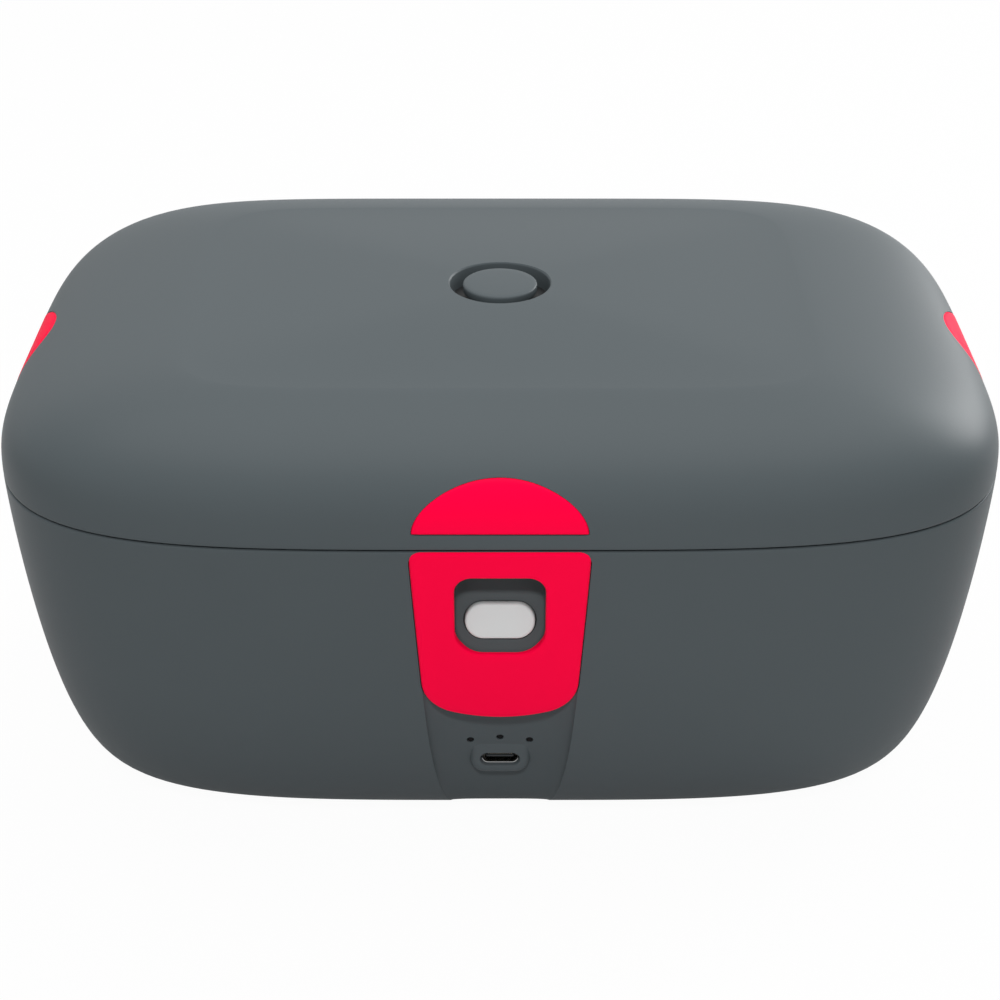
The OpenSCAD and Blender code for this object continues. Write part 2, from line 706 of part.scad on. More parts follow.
module front_plate() color(red) placed() difference() {
    intersection() {
        curved_slab(false, plate_w / 2 + 2, plate_low_z - 2, body_top + 1, plate_proud, -plate_back);
        prism_y(-half_d - 6, -half_d + 20) plate_outline(rim_z - plate_drop);
    }
    prism_y(-half_d - 6, -half_d + 20) window_outline();
}

// Frame on the button's face: +Y goes in along the tilted axis
module pill_frame() translate([0, pill_y, pill_z]) rotate([-pocket_tilt, 0, 0]) children();
module behind(y) translate([-30, y - 60, -30]) cube([60, 60, 60]);

pocket_back = pill_proud + pocket_floor_t;
switch_y = pocket_back + apart + flange_t + 1.3 + button_travel + apart;
switch_board_y = switch_y + switch_h;

module button_pocket() color(charcoal) placed() {
    difference() {
        intersection() {
            prism_y(-half_d - 6, -half_d + 30) window_outline(pocket_wall);
            pill_frame() behind(pocket_back);
        }
        curved_slab(false, window_w, rim_z - window_drop - window_h - 4, body_top, 16, -plate_back, 4);
        intersection() {
            prism_y(-half_d - 6, -half_d + 30) window_outline();
            pill_frame() behind(pill_proud);
        }
        pill_frame() prism_y(-5, 20) stadium(pill_w + 2 * pill_gap, pill_h + 2 * pill_gap);
    }
    pill_frame() for (s = [-1, 1]) translate([s * board_hold_x, 0, board_hold_z])
        peg(board_hold_r, pocket_back - 0.6, switch_board_y);
}
board_hold_x = window_w / 2 - 3;
board_hold_z = pill_h / 2 + pill_gap + 3.4;
board_hold_r = 1.6;

module power_button() color(pale) placed() pill_frame() {
    prism_y(0, pocket_back + apart) stadium(pill_w, pill_h);
    prism_y(pocket_back + apart, pocket_back + apart + flange_t) stadium(pill_w + 1.8, pill_h + 1.8);
    peg(2, pocket_back + apart + flange_t, switch_y - button_travel - apart);
}

module button_switch() color(dark) placed() pill_frame() {
    translate([-switch_w / 2, switch_y + 0.8, -switch_w / 2]) cube([switch_w, switch_h - 0.8, switch_w]);
    peg(1.7, switch_y, switch_y + 0.8);
}

module switch_board() color(board_green) placed() pill_frame() {
    edge = board_hold_r + 0.4;
    translate([-board_hold_x - edge, switch_board_y, -switch_w / 2 - 1])
        cube([2 * (board_hold_x + edge), board_t, board_hold_z + edge + switch_w / 2 + 1]);
}

// ---- Side clips ----

module clip() {
    intersection() {
        curved_slab(true, plate_w / 2 + 2, plate_low_z - 2, clip_top_z + 1, clip_proud, -clip_back);
        prism_y(-half_w - 6, -half_w + 20) plate_outline(clip_top_z);
    }
    at_pivot() difference() {
        union() {
            bar(barrel_r, barrel_l);
            translate([-barrel_l / 2, clip_back - pivot_in - 0.5, -1.6])
                cube([barrel_l, pivot_in - clip_back + 0.5, 3.2]);
        }
        bar(pivot_r + run, barrel_l + 2);
    }
}

module left_clip() color(red) on_side(-90) clip();
module right_clip() color(red) on_side(90) clip();

module clip_pins() color(steel) for (turn = [-90, 90])
    on_side(turn) at_pivot() bar(pivot_r, barrel_l + 2 * (apart + lug_l));

// ---- Lid ----

liner_z = lid_low + 0.6;
liner_top = liner_z + liner_t;
tray_z = liner_z - liner_step + liner_t;
lid_post_x = corner_x / 2 + 27;
lid_post_y = corner_y / 2 + 27;
lid_post_top = rim_z + under_lid(lid_post_x + 0.7 * lid_post_r, lid_post_y + 0.7 * lid_post_r) + 0.6;

// Height above the rim up to which a point in the plan is inside the lid
function under_lid(x, y) = max([for (h = [1:0.5:lid_h - lid_wall]) let (s = lid_level(lid_k(h)))
    if (pow(x / (s[0] - lid_wall), s[2]) + pow(y / (s[1] - lid_wall), s[2]) < 1) h]);
lid_leaf_z = lid_low + 0.15;
lid_screw_z = lid_leaf_z + lid_leaf_h / 2 + 0.6;

module at_lid_posts() for (sx = [-1, 1], sy = [-1, 1]) translate([sx * lid_post_x, sy * lid_post_y, 0]) children();

module lid_wall_form() skin(
    concat(
        [for (u = [90, 76, 60, 44, 28, 14, 5]) lid_ring(u, lid_wall, lid_h - lid_wall)],
        [level_ring(lid_low, lid_wall), level_ring(lid_low, 0)],
        [for (u = [4, 10, 18, 28, 38, 50, 62, 74, 84, 90]) lid_ring(u, 0, lid_h)],
        [for (s = [0.25, 0.5, 0.8]) let (l = lid_level(1)) lift(
            oval(l[0] * (1 - s), l[1] * (1 - s), l[2]), rim_z + lid_h + lid_crown * pow(1 - pow(1 - s, 2), 1.5))]),
    [0, 0, roof_z], [0, 0, lid_top]);

function half_moon(grow = 0) = [for (i = [0:18]) let (t = 10 * i)
    [(moon_w / 2 + grow) * cos(t), rim_z + moon_rise - grow + (moon_h + 2 * grow) * sin(t)]];

module inlay(short_side, outer, grow) intersection() {
    curved_slab(short_side, moon_w / 2 + 2, rim_z + moon_rise - 1, rim_z + moon_rise + moon_h + 1,
        outer, inlay_proud - inlay_t, 10, 6);
    prism_y(-half_w - 6, -half_d + 30) polygon(half_moon(grow));
}

module lid_shell() color(lid_charcoal) placed() difference() {
    union() {
        lid_wall_form();
        at_lid_posts() translate([0, 0, liner_top]) cylinder(h = lid_post_top - liner_top, r = lid_post_r);
    }
    translate([0, 0, roof_z - 2]) cylinder(h = 20, r = vent_r);
    inlay(false, 6, seat);
    for (s = [-1, 1]) rotate([0, 0, 90 * s]) {
        inlay(true, 6, seat);
        clip_recess();
    }
    translate([-lid_knuckle_l / 2 - seat, leaf_y, rim_z - 5])
        cube([lid_knuckle_l + 2 * seat, 20, lid_leaf_z + lid_leaf_h + seat - rim_z + 5]);
    hinge_screw_row(leaf_y, 1.2, lid_screw_z, lid_screw_x);
    at_lid_posts() translate([0, 0, liner_top - 1]) cylinder(h = 6 * liner_shank_r, r = liner_shank_r);
}

module lid_liner() color(dark) placed() difference() {
    union() {
        translate([0, 0, liner_z]) linear_extrude(liner_t) polygon(level_oval(liner_z, lid_wall + seat));
        translate([0, 0, liner_z - liner_step]) linear_extrude(liner_step + 0.1)
            rounded(corner_x, corner_y, liner_r);
    }
    translate([0, 0, tray_z]) linear_extrude(10) rounded(corner_x, corner_y, liner_r - liner_t);
    for (i = [-2:2]) translate([i * 5, 0, liner_z - 5]) linear_extrude(12) rotate(90) stadium(14 - 2 * abs(i), 2);
    at_lid_posts() translate([0, 0, liner_z - 5]) cylinder(h = 12, r = liner_shank_r + seat);
    at_lid_posts() translate([0, 0, liner_z - 5]) cylinder(h = 5.8, r = 2 * liner_shank_r + seat);
}
liner_r = dish_r - 1.4;
liner_shank_r = 1.2;

module liner_screws() color(steel) placed() at_lid_posts() {
    translate([0, 0, liner_z - 0.4]) cylinder(h = 1.2, r = 2 * liner_shank_r);
    translate([0, 0, liner_z]) cylinder(h = liner_t + 5 * liner_shank_r, r = liner_shank_r);
}

module lid_seal() color(silicone) placed()
    translate([0, 0, dish_top + apart]) linear_extrude(liner_z - dish_top - apart) difference() {
        rounded(corner_x, corner_y, liner_r + seal_w);
        rounded(corner_x, corner_y, liner_r);
    }

module lid_foam() color(foam) placed() translate([0, 0, tray_z]) difference() {
    linear_extrude(lid_foam_h) rounded(corner_x - 12, corner_y + 4, 14);
    translate([0, 0, -1]) cylinder(h = lid_foam_h + 2, r = vent_flange_r + 1);
}

module front_inlay() color(red) placed() inlay(false, inlay_proud, 0);
module left_inlay() color(red) on_side(-90) inlay(true, inlay_proud, 0);
module right_inlay() color(red) on_side(90) inlay(true, inlay_proud, 0);

// ---- Steam vent ----

vent_flange_r = vent_r + 3.5;
vent_flange_t = 2.4;
vent_tube_r = vent_stem_r + 2.4;
vent_low = lid_top - vent_disc_t - vent_stem_l;
spring_low = tray_z + 1.6;

module vent_housing() color(dark) placed() difference() {
    union() {
        translate([0, 0, roof_z - vent_flange_t]) cylinder(h = vent_flange_t, r = vent_flange_r);
        translate([0, 0, tray_z]) cylinder(h = roof_z - tray_z, r = vent_tube_r);
    }
    translate([0, 0, spring_low]) cylinder(h = 40, r = vent_stem_r + run);
    translate([0, 0, tray_z - 1]) cylinder(h = 10, r = 3);
    for (i = [0:7]) rotate(45 * i) translate([(vent_tube_r + vent_r) / 2, 0, roof_z - 5]) cylinder(h = 10, r = 1.1);
}

module vent_spring() color(steel) placed() translate([0, 0, spring_low]) difference() {
    cylinder(h = vent_low - spring_low, r = 4.6);
    translate([0, 0, -1]) cylinder(h = vent_low - spring_low + 2, r = 3.8);
}

module vent_button() color(lid_charcoal) placed() {
    translate([0, 0, lid_top - vent_disc_t]) cylinder(h = vent_disc_t, r = vent_disc_r);
    translate([0, 0, vent_low]) cylinder(h = vent_stem_l + 0.1, r = vent_stem_r);
}

// ---- Lid hinge ----

body_screw_x = lid_knuckle_l / 2 + 8;
lid_screw_x = lid_knuckle_l / 2 - 5.8;
body_screw_z = body_leaf_z + 3.6;
screw_head_r = 1.8;
screw_shank_r = 0.9;

module hinge_screw_row(y, l, z, x) for (s = [-1, 1]) translate([s * x, 0, z]) peg(screw_shank_r, y - l, y + 5);
module hinge_head_row(y, z, x, grow) for (s = [-1, 1]) translate([s * x, 0, z])
    peg(screw_head_r + grow, y + leaf_t - 0.6, y + leaf_t + grow);

module knuckle(l) translate([0, hinge_y, rim_z]) bar(knuckle_r, l);
module pin_bore(r) translate([0, hinge_y, rim_z]) bar(r, 4 * hinge_half);

module hinge_base() color(charcoal) placed() difference() {
    union() {
        translate([-hinge_half, leaf_y, body_leaf_z]) cube([2 * hinge_half, leaf_t, body_leaf_h]);
        for (s = [-1, 1]) translate([s * (hinge_half - body_knuckle_l / 2), 0, 0]) {
            knuckle(body_knuckle_l);
            translate([-body_knuckle_l / 2, leaf_y, rim_z - knuckle_r])
                cube([body_knuckle_l, hinge_y - leaf_y, knuckle_r - 0.7]);
        }
    }
    pin_bore(hinge_pin_r);
    hinge_screw_row(leaf_y, 2, body_screw_z, body_screw_x);
    hinge_head_row(leaf_y, body_screw_z, body_screw_x, 0.05);
}

module hinge_screws() color(steel) placed() {
    hinge_head_row(leaf_y, body_screw_z, body_screw_x, 0);
    for (s = [-1, 1]) translate([s * body_screw_x, 0, body_screw_z]) peg(screw_shank_r, leaf_y - 2.8, leaf_y + 0.5);
}

module hinge_pin() color(steel) placed() translate([0, hinge_y, rim_z]) bar(hinge_pin_r, 2 * hinge_half + 1);

module hinge_lid() color(lid_charcoal) placed() difference() {
    union() {
        translate([-lid_knuckle_l / 2, leaf_y, lid_leaf_z]) cube([lid_knuckle_l, leaf_t, lid_leaf_h]);
        knuckle(lid_knuckle_l);
        translate([-lid_knuckle_l / 2, leaf_y, lid_leaf_z]) cube([lid_knuckle_l, hinge_y - leaf_y, 2.2]);
    }
    pin_bore(hinge_pin_r + run);
    hinge_screw_row(leaf_y, 2, lid_screw_z, lid_screw_x);
    hinge_head_row(leaf_y, lid_screw_z, lid_screw_x, 0.05);
}

module lid_hinge_screws() color(steel) placed() {
    hinge_head_row(leaf_y, lid_screw_z, lid_screw_x, 0);
    for (s = [-1, 1]) translate([s * lid_screw_x, 0, lid_screw_z]) peg(screw_shank_r, leaf_y - 1, leaf_y + 0.5);
}

body_shell();
base_cover();
base_screws();
feet();
top_deck();
heating_well();
heater_mat();
thermal_cutoff();
insulation_pad();
cell_holder();
battery_cells();
cell_links();
control_board();
usb_port();
usb_tongue();
light_pipes();
light_board();
front_plate();
button_pocket();
switch_board();
button_switch();
power_button();
clip_pins();
left_clip();
right_clip();
hinge_base();
hinge_pin();
hinge_screws();
food_dish();
lid_shell();
lid_liner();
lid_seal();
lid_foam();
liner_screws();
hinge_lid();
lid_hinge_screws();
front_inlay();
left_inlay();
right_inlay();
vent_housing();
vent_spring();
vent_button();
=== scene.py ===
# %% [markdown]
# # A portable electric lunch box
# The box is a moulded plastic housing with a domed lid hinged along its back. Red plates, clips and
# half-moon inlays mark where it is opened. The construction comes in as a fixed frame at its real size.
# This lesson dresses it: smooth skins, small detail round button and port, a finish for every surface.

# %% Load the frame
import math
from functools import partial

import bmesh
import bpy
from mathutils import Matrix, Vector


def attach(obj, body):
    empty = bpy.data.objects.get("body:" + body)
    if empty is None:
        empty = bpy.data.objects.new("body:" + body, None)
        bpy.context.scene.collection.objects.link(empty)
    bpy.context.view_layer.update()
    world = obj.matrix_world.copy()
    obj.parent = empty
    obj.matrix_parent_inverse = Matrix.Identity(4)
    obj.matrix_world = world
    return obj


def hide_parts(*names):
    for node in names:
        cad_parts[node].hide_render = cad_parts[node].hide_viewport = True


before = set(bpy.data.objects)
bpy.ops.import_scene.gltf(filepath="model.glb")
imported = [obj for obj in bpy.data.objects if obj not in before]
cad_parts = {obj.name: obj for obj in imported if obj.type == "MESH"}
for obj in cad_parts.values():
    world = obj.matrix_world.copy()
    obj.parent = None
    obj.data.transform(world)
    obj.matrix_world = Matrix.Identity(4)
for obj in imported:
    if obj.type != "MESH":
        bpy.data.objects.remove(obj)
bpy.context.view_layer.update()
scene = bpy.context.scene

# %% [markdown]
# ## The box's own measures
# All sizes are in millimetres, and `MM` turns them into Blender's metres. The outline of the box is a
# superellipse: a rounded rectangle whose corners flow into its sides. Each level of the housing and of
# the lid has its own half sizes and squareness, and two more superellipses, one for the housing and one
# for the lid, say how far the wall has run in at a height. So a few numbers give the whole surface.

# %% The outer surface
MM = 0.001
HALF_W, HALF_D = 120.0, 86.5
BODY_H, LID_H, CROWN = 91.0, 24.5, 2.2
RIM, PLAN_Y, FOOT_H = 92.5, -3.2, 1.5
BODY_TOP, LID_LOW = RIM - 0.45, RIM + 0.02
LID_TOP = RIM + LID_H + CROWN
BODY_BELLY, BODY_DROP = 4.8, 1.25
LID_ROLL, LID_RISE = 1.35, 3.25
SQUARE = 4.2


def body_level(k):
    """Half width, half depth and squareness of the housing: k is 0 at the rim and 1 underneath."""
    return HALF_W - 36.5 * k, HALF_D - 53 * k, SQUARE - 0.2 * k


def lid_level(k):
    """The same for the lid: k is 0 at the rim and 1 where the shoulder ends."""
    return HALF_W - 44.5 * k, HALF_D - 31.5 * k, SQUARE + 3.3 * k


def level(z):
    """Half width, half depth and squareness of the outer surface at a height."""
    if z < RIM:
        d = min((RIM - z) / BODY_H, 1)
        return body_level(1 - (1 - d**BODY_DROP) ** (1 / BODY_BELLY))
    h = min((z - RIM) / LID_H, 1)
    return lid_level(1 - (1 - h**LID_RISE) ** (1 / LID_ROLL))


def reach(short_side, u, z):
    """Distance of the outer surface from the middle: of the front, or of a short side."""
    a, b, n = level(z)
    across, out = (b, a) if short_side else (a, b)
    return out * (1 - (abs(u) / across) ** n) ** (1 / n)


print("the box is", 2 * HALF_W, "x", 2 * HALF_D, "mm at the rim and", round(LID_TOP, 1), "mm high")

# %% [markdown]
# ## From rings to meshes
# Almost every piece here is a loft: a stack of closed rings with the same number of points, joined by
# quads. Its quads lie in line with the form, so it shades smoothly, and two or three rings close
# together round an edge.

# %% Lofts
def loft(rings, start=None, end=None):
    """Points and faces of a skin through rings. start and end close it with a fan to that point."""
    count = len(rings[0])
    points = [p for ring in rings for p in ring]
    faces = []
    for r in range(len(rings) - 1):
        for i in range(count):
            j = (i + 1) % count
            faces.append((r * count + i, r * count + j, (r + 1) * count + j, (r + 1) * count + i))
    for tip, base, turn in ((start, 0, 1), (end, (len(rings) - 1) * count, -1)):
        if tip is not None:
            points.append(tip)
            for i in range(count):
                j = (i + 1) % count
                faces.append((len(points) - 1, base + j, base + i)[::turn])
    return points, faces


def joined(*parts):
    """Several lists of points and faces as one."""
    points, faces = [], []
    for p, f in parts:
        faces += [tuple(i + len(points) for i in face) for face in f]
        points += p
    return points, faces


def turned(part, degrees):
    """The same piece turned about the box's upright axis: 90 is the right side, -90 the left."""
    c, s = math.cos(math.radians(degrees)), math.sin(math.radians(degrees))
    return [(c * x - s * y, s * x + c * y, z) for x, y, z in part[0]], part[1]


corners = [(0, 0), (1, 0), (1, 1), (0, 1)]
cube = loft([[(x, y, z) for x, y in corners] for z in (0, 1)], (0.5, 0.5, 0), (0.5, 0.5, 1))
print("a loft of two squares, closed at both ends, has", len(cube[1]), "faces")

# %% [markdown]
# ## From meshes to pieces
# A mesh is made in millimetres from the box's own middle, then placed and scaled in one go. Smooth shading
# with a limit on the angle keeps real edges crisp. Once its shape is done, every piece is told its finish,
# the body that it moves with and which pieces of the construction it stands for.

# %% Pieces
SHARP = 38


def make_mesh(name, part, sharp=SHARP):
    """A mesh object from points in millimetres, shaded smooth except along sharp edges."""
    mesh = bpy.data.meshes.new(name)
    mesh.from_pydata([(x * MM, (y + PLAN_Y) * MM, z * MM) for x, y, z in part[0]], [], part[1])
    work = bmesh.new()
    work.from_mesh(mesh)
    bmesh.ops.remove_doubles(work, verts=work.verts, dist=1e-6)
    bmesh.ops.recalc_face_normals(work, faces=work.faces)
    work.to_mesh(mesh)
    work.free()
    mesh.shade_smooth()
    mesh.set_sharp_from_angle(angle=math.radians(sharp))
    obj = bpy.data.objects.new(name, mesh)
    scene.collection.objects.link(obj)
    return obj


def piece(obj, body, material, slot, *nodes):
    """Gives a piece its finish and its body, and hides the CAD nodes it stands for. The slot is not used."""
    obj.data.materials.clear()
    obj.data.materials.append(material)
    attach(obj, body)
    if nodes:
        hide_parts(*nodes)
    print(f"{obj.name}: {len(obj.data.polygons)} faces on {body}")
    return obj


print("edges sharper than", SHARP, "degrees stay crisp")

# %% [markdown]
# ## Cutting and merging
# Openings are cut with Blender's Boolean modifier, which gets closed meshes as its tools. It is applied at
# once, so that the piece ends as a plain mesh. Lugs and barrels that only stand against a wall are merged
# into its mesh without it.

# %% Cutting and merging
def carve(obj, cutters, added=()):
    """Unites closed meshes with obj, cuts others out of it, then throws all of them away."""
    for kind, tools in (("UNION", added), ("DIFFERENCE", cutters)):
        if tools:
            shelf = bpy.data.collections.new(kind)
            for tool in tools:
                shelf.objects.link(tool)
            step = obj.modifiers.new(kind, "BOOLEAN")
            step.operation, step.solver = kind, "MANIFOLD"
            step.operand_type, step.collection = "COLLECTION", shelf
    bpy.context.view_layer.update()
    done = bpy.data.meshes.new_from_object(obj.evaluated_get(bpy.context.evaluated_depsgraph_get()))
    obj.modifiers.clear()
    obj.data = done
    obj.data.shade_smooth()
    obj.data.set_sharp_from_angle(angle=math.radians(SHARP))
    for tool in [*added, *cutters]:
        bpy.data.objects.remove(tool)
    return obj


def merged(obj, *others):
    """The meshes of others become part of obj, as pieces of the same moulding."""
    work = bmesh.new()
    for each in (obj, *others):
        work.from_mesh(each.data)
    work.to_mesh(obj.data)
    work.free()
    for each in others:
        bpy.data.objects.remove(each)
    return obj


print("pieces can be united, cut and merged")

# %% [markdown]
# ## Outlines
# The plate, the clips, the window and the inlays are drawn as flat outlines first, from straight lines
# and arcs. Each can be asked for a little larger or smaller, which gives the joint round a piece and the
# roll of its edge.

# %% Outlines of plates and windows
PLATE_TOP, PLATE_LOW, CLIP_TOP = RIM - 0.5, RIM - 49.2, RIM + 3.1


def arc(centre, r, start, stop, steps):
    return [(centre[0] + r * math.cos(math.radians(start + (stop - start) * i / steps)),
             centre[1] + r * math.sin(math.radians(start + (stop - start) * i / steps)))
            for i in range(steps + 1)]


def shield(top_w, low_w, top_z, low_z, top_r, low_r, grow=0.0, belly=10000.0):
    """Upright outline with straight, leaning sides, round corners and a lower edge of radius belly."""
    top = (top_w / 2 - top_r, top_z - top_r)
    low_x = low_w / 2 - low_r
    low = (low_x, low_z + belly - math.sqrt((belly - low_r) ** 2 - low_x**2))
    sweep = math.degrees(math.asin(low_x / (belly - low_r)))
    dx, dz = top[0] - low[0], top[1] - low[1]
    side = math.degrees(math.atan2(dz, dx) - math.acos((low_r - top_r) / math.hypot(dx, dz)))
    right = arc((0, low_z + belly), belly + grow, -90, sweep - 90, 10)
    right += arc(low, low_r + grow, sweep - 90, side, 24) + arc(top, top_r + grow, side, 90, 14)
    return right + [(-x, z) for x, z in reversed(right[1:])]


def plate_outline(top_z, grow=0.0):
    return shield(40.4, 36.4, top_z, PLATE_LOW, 2.2, 10, grow, 37)


def window_outline(grow=0.0):
    return shield(20.6, 20.6, RIM - 7.5, RIM - 29.2, 4, 6.5, grow)


def half_moon(grow=0.0):
    half_w, low_z, rise = 19.65 + grow, RIM + 3.9 - grow, 11.5 + 2 * grow
    turns = [math.radians(t) for t in range(0, 181, 3)]
    return [(half_w * math.cos(t), low_z + rise * math.sin(t)) for t in turns]


def stadium(w, h, z=0.0, grow=0.0):
    r = h / 2 + grow
    return arc((w / 2 - h / 2, z), r, -90, 90, 24) + arc((h / 2 - w / 2, z), r, 90, 270, 24)


print("the plate's outline has", len(plate_outline(PLATE_TOP)), "points")

# %% [markdown]
# ## Rings on the box
# Two outlines can be joined by quads only if they have the same number of points. So each is sampled
# again on the same spokes from one centre. A piece that lies on the box takes these points in the front
# view and lets the surface formula give the depth.

# %% Spokes and rings
SPOKES = 288


def spokes(outline, centre, count=SPOKES):
    """Where evenly turned rays from the centre meet a convex outline."""
    found = []
    for i in range(count):
        angle = 2 * math.pi * (i + 0.5) / count
        dx, dz = math.cos(angle), math.sin(angle)
        best = None
        for (x0, z0), (x1, z1) in zip(outline, outline[1:] + outline[:1]):
            ex, ez = x1 - x0, z1 - z0
            den = dx * ez - dz * ex
            if abs(den) < 1e-12:
                continue
            t = ((x0 - centre[0]) * ez - (z0 - centre[1]) * ex) / den
            s = ((x0 - centre[0]) * dz - (z0 - centre[1]) * dx) / den
            if t > 0 and -1e-9 <= s <= 1 + 1e-9:
                best = max(best or 0, t)
        found.append((centre[0] + best * dx, centre[1] + best * dz))
    return found


def between(ring, other, share):
    """A ring part of the way from one ring to another."""
    return [(a[0] + (b[0] - a[0]) * share, a[1] + (b[1] - a[1]) * share) for a, b in zip(ring, other)]


def towards(ring, centre, share):
    """A ring drawn in towards the centre by a share of its size."""
    return between(ring, [centre] * len(ring), share)


def on_surface(ring, short_side, off):
    """Points of a flat ring laid on the outer surface, off it by a distance."""
    return [(x, -reach(short_side, x, z) - off, z) for x, z in ring]


print("every outline is sampled on", SPOKES, "spokes")

# %% [markdown]
# ## Surface pieces and the recesses they sit in
# A plate on the real box is a thin moulding with a small radius along its edge. Here it is a loft that
# starts behind the face, rolls over the edge in four rings and runs in to its middle or to its window.
# Its recess is cut by a loft of the same outline, a hair wider, so the dark joint round it is even.

# %% Plates and their cutters
EDGE = [(0.0, -0.62), (0.07, -0.32), (0.26, -0.1), (0.6, 0.0)]


def plate(outline, centre, short_side, proud, back, hole=None, bed=None):
    """A curved plate. outline(grow) gives its shape, hole(grow) a window, bed(grow) its hidden back."""
    back_ring = spokes((bed or outline)(0.0), centre)
    rings = [on_surface(back_ring, short_side, -back)]
    if bed:
        rings[0] = [(x, y + max(0.0, channel_depth(x, z) - back), z) for x, y, z in rings[0]]
        rings.append(on_surface(back_ring, short_side, proud + EDGE[0][1]))
    rings += [on_surface(spokes(outline(-inset), centre), short_side, proud + drop) for inset, drop in EDGE]
    face = spokes(outline(-EDGE[-1][0]), centre)
    if hole is None:
        rings += [on_surface(towards(face, centre, s), short_side, proud)
                  for s in (0.06, 0.14, 0.24, 0.36, 0.5, 0.64, 0.78, 0.9)]
        return loft(rings, (centre[0], -reach(short_side, centre[0], centre[1]) + back, centre[1]),
                    (centre[0], -reach(short_side, centre[0], centre[1]) - proud, centre[1]))
    rim = spokes(hole(EDGE[-1][0]), centre)
    rings += [on_surface(between(face, rim, s), short_side, proud)
              for s in (0.12, 0.25, 0.38, 0.5, 0.62, 0.75, 0.88)]
    rings += [on_surface(spokes(hole(inset), centre), short_side, proud + drop)
              for inset, drop in reversed(EDGE)]
    rings.append(on_surface(spokes(hole(0.0), centre), short_side, -back))
    rings.append(rings[0])
    return loft(rings)


def recess(outline, centre, short_side, depth, out=14):
    """Closed cutter for a recess of an even depth below the surface."""
    flat = spokes(outline, centre)
    rings = [[(x, -reach(short_side, centre[0], centre[1]) - out, z) for x, z in flat]]
    rings += [on_surface(towards(flat, centre, s), short_side, -depth) for s in (0, 0.2, 0.4, 0.6, 0.8)]
    return loft(rings, (centre[0], rings[0][0][1], centre[1]),
                (centre[0], -reach(short_side, centre[0], centre[1]) + depth, centre[1]))


print("an edge rolls over in", len(EDGE), "rings")

# %% [markdown]
# ## Plain solids
# The other cutters, the barrels and the port's pieces are outlines drawn out along an axis, round bars
# and blocks. All of them are closed at their ends, because the Boolean modifier needs that.

# %% Prisms, bars and blocks
def middle(outline):
    return sum(p[0] for p in outline) / len(outline), sum(p[1] for p in outline) / len(outline)


def along_y(outline, y0, y1):
    """Closed prism along Y of an outline drawn in X and Z."""
    mid_x, mid_z = middle(outline)
    return loft([[(x, y, z) for x, z in outline] for y in (y0, y1)], (mid_x, y0, mid_z), (mid_x, y1, mid_z))


def along_z(outline, z0, z1):
    """Closed prism along Z of an outline drawn in X and Y."""
    mid = middle(outline)
    return loft([[(x, y, z) for x, y in outline] for z in (z0, z1)], (*mid, z0), (*mid, z1))


def sunk(outline, profile, y0):
    """Rings of outline(grow) along Y, from pairs of depth behind y0 and growth."""
    return [[(x, y0 + y, z) for x, z in outline(grow)] for y, grow in profile]


def rod_x(x0, x1, y, z, r, count=48):
    """Closed round bar along X."""
    ring = [(y + r * math.cos(2 * math.pi * i / count), z + r * math.sin(2 * math.pi * i / count))
            for i in range(count)]
    return loft([[(x, a, b) for a, b in ring] for x in (x0, x1)], (x0, y, z), (x1, y, z))


def block(x0, x1, y0, y1, z0, z1):
    """Closed box, for cutters only."""
    points = [(x, y, z) for x in (x0, x1) for y in (y0, y1) for z in (z0, z1)]
    return points, [(0, 1, 3, 2), (4, 6, 7, 5), (0, 4, 5, 1), (2, 3, 7, 6), (0, 2, 6, 4), (1, 5, 7, 3)]


print("a block has", len(block(0, 1, 0, 1, 0, 1)[1]), "faces")

# %% [markdown]
# ## Shared effects for the finishes
# Moulded plastic is never quite even: the tool leaves a fine grain, and colour and shine drift a little
# over a large wall. Brushed metal has long thin lines instead. Each effect is a node group that gives
# out only a tone and a height, so every material can use it with its own scale and strength.

# %% Node groups
def noise_group(name, stretch, effects):
    """A group with a noise for each effect: its output, the input for its scale, that scale, its detail."""
    group = bpy.data.node_groups.new(name, "ShaderNodeTree")
    nodes, links = group.nodes, group.links
    given, result = nodes.new("NodeGroupInput"), nodes.new("NodeGroupOutput")
    where, mapping = nodes.new("ShaderNodeTexCoord"), nodes.new("ShaderNodeMapping")
    mapping.inputs["Scale"].default_value = stretch
    links.new(where.outputs["Object"], mapping.inputs["Vector"])
    for label, socket, scale, detail in effects:
        group.interface.new_socket(name=label, in_out="OUTPUT", socket_type="NodeSocketFloat")
        size = group.interface.new_socket(name=socket, in_out="INPUT", socket_type="NodeSocketFloat")
        size.default_value = scale
        noise = nodes.new("ShaderNodeTexNoise")
        noise.inputs["Detail"].default_value = detail
        links.new(mapping.outputs["Vector"], noise.inputs["Vector"])
        links.new(given.outputs[socket], noise.inputs["Scale"])
        links.new(noise.outputs["Fac"], result.inputs[label])
    return group


GRAIN = noise_group("moulded grain", (1.0, 1.0, 1.0), [
    ("Height", "Grain Scale", 1400.0, 2.0), ("Tone", "Drift Scale", 14.0, 3.0)])
BRUSH = noise_group("brushed lines", (0.03, 1.0, 1.0), [
    ("Height", "Line Scale", 900.0, 2.0), ("Tone", "Drift Scale", 900.0, 2.0)])
print("groups:", GRAIN.name, "and", BRUSH.name)

# %% [markdown]
# ## A finish from one recipe
# All the finishes share one layout: the group's tone moves the colour and the roughness between two
# values, and its height feeds a bump. The numbers make one read as satin plastic and another as rubber
# or steel. Numbers that are the same all over stay on the shader's own sockets.

# %% The recipe
def linear(rgb):
    """A colour picked on screen, 0 to 255, as the linear light that Blender works in."""
    return tuple((c / 255 / 12.92) if c <= 10 else ((c / 255 + 0.055) / 1.055) ** 2.4 for c in rgb) + (1.0,)


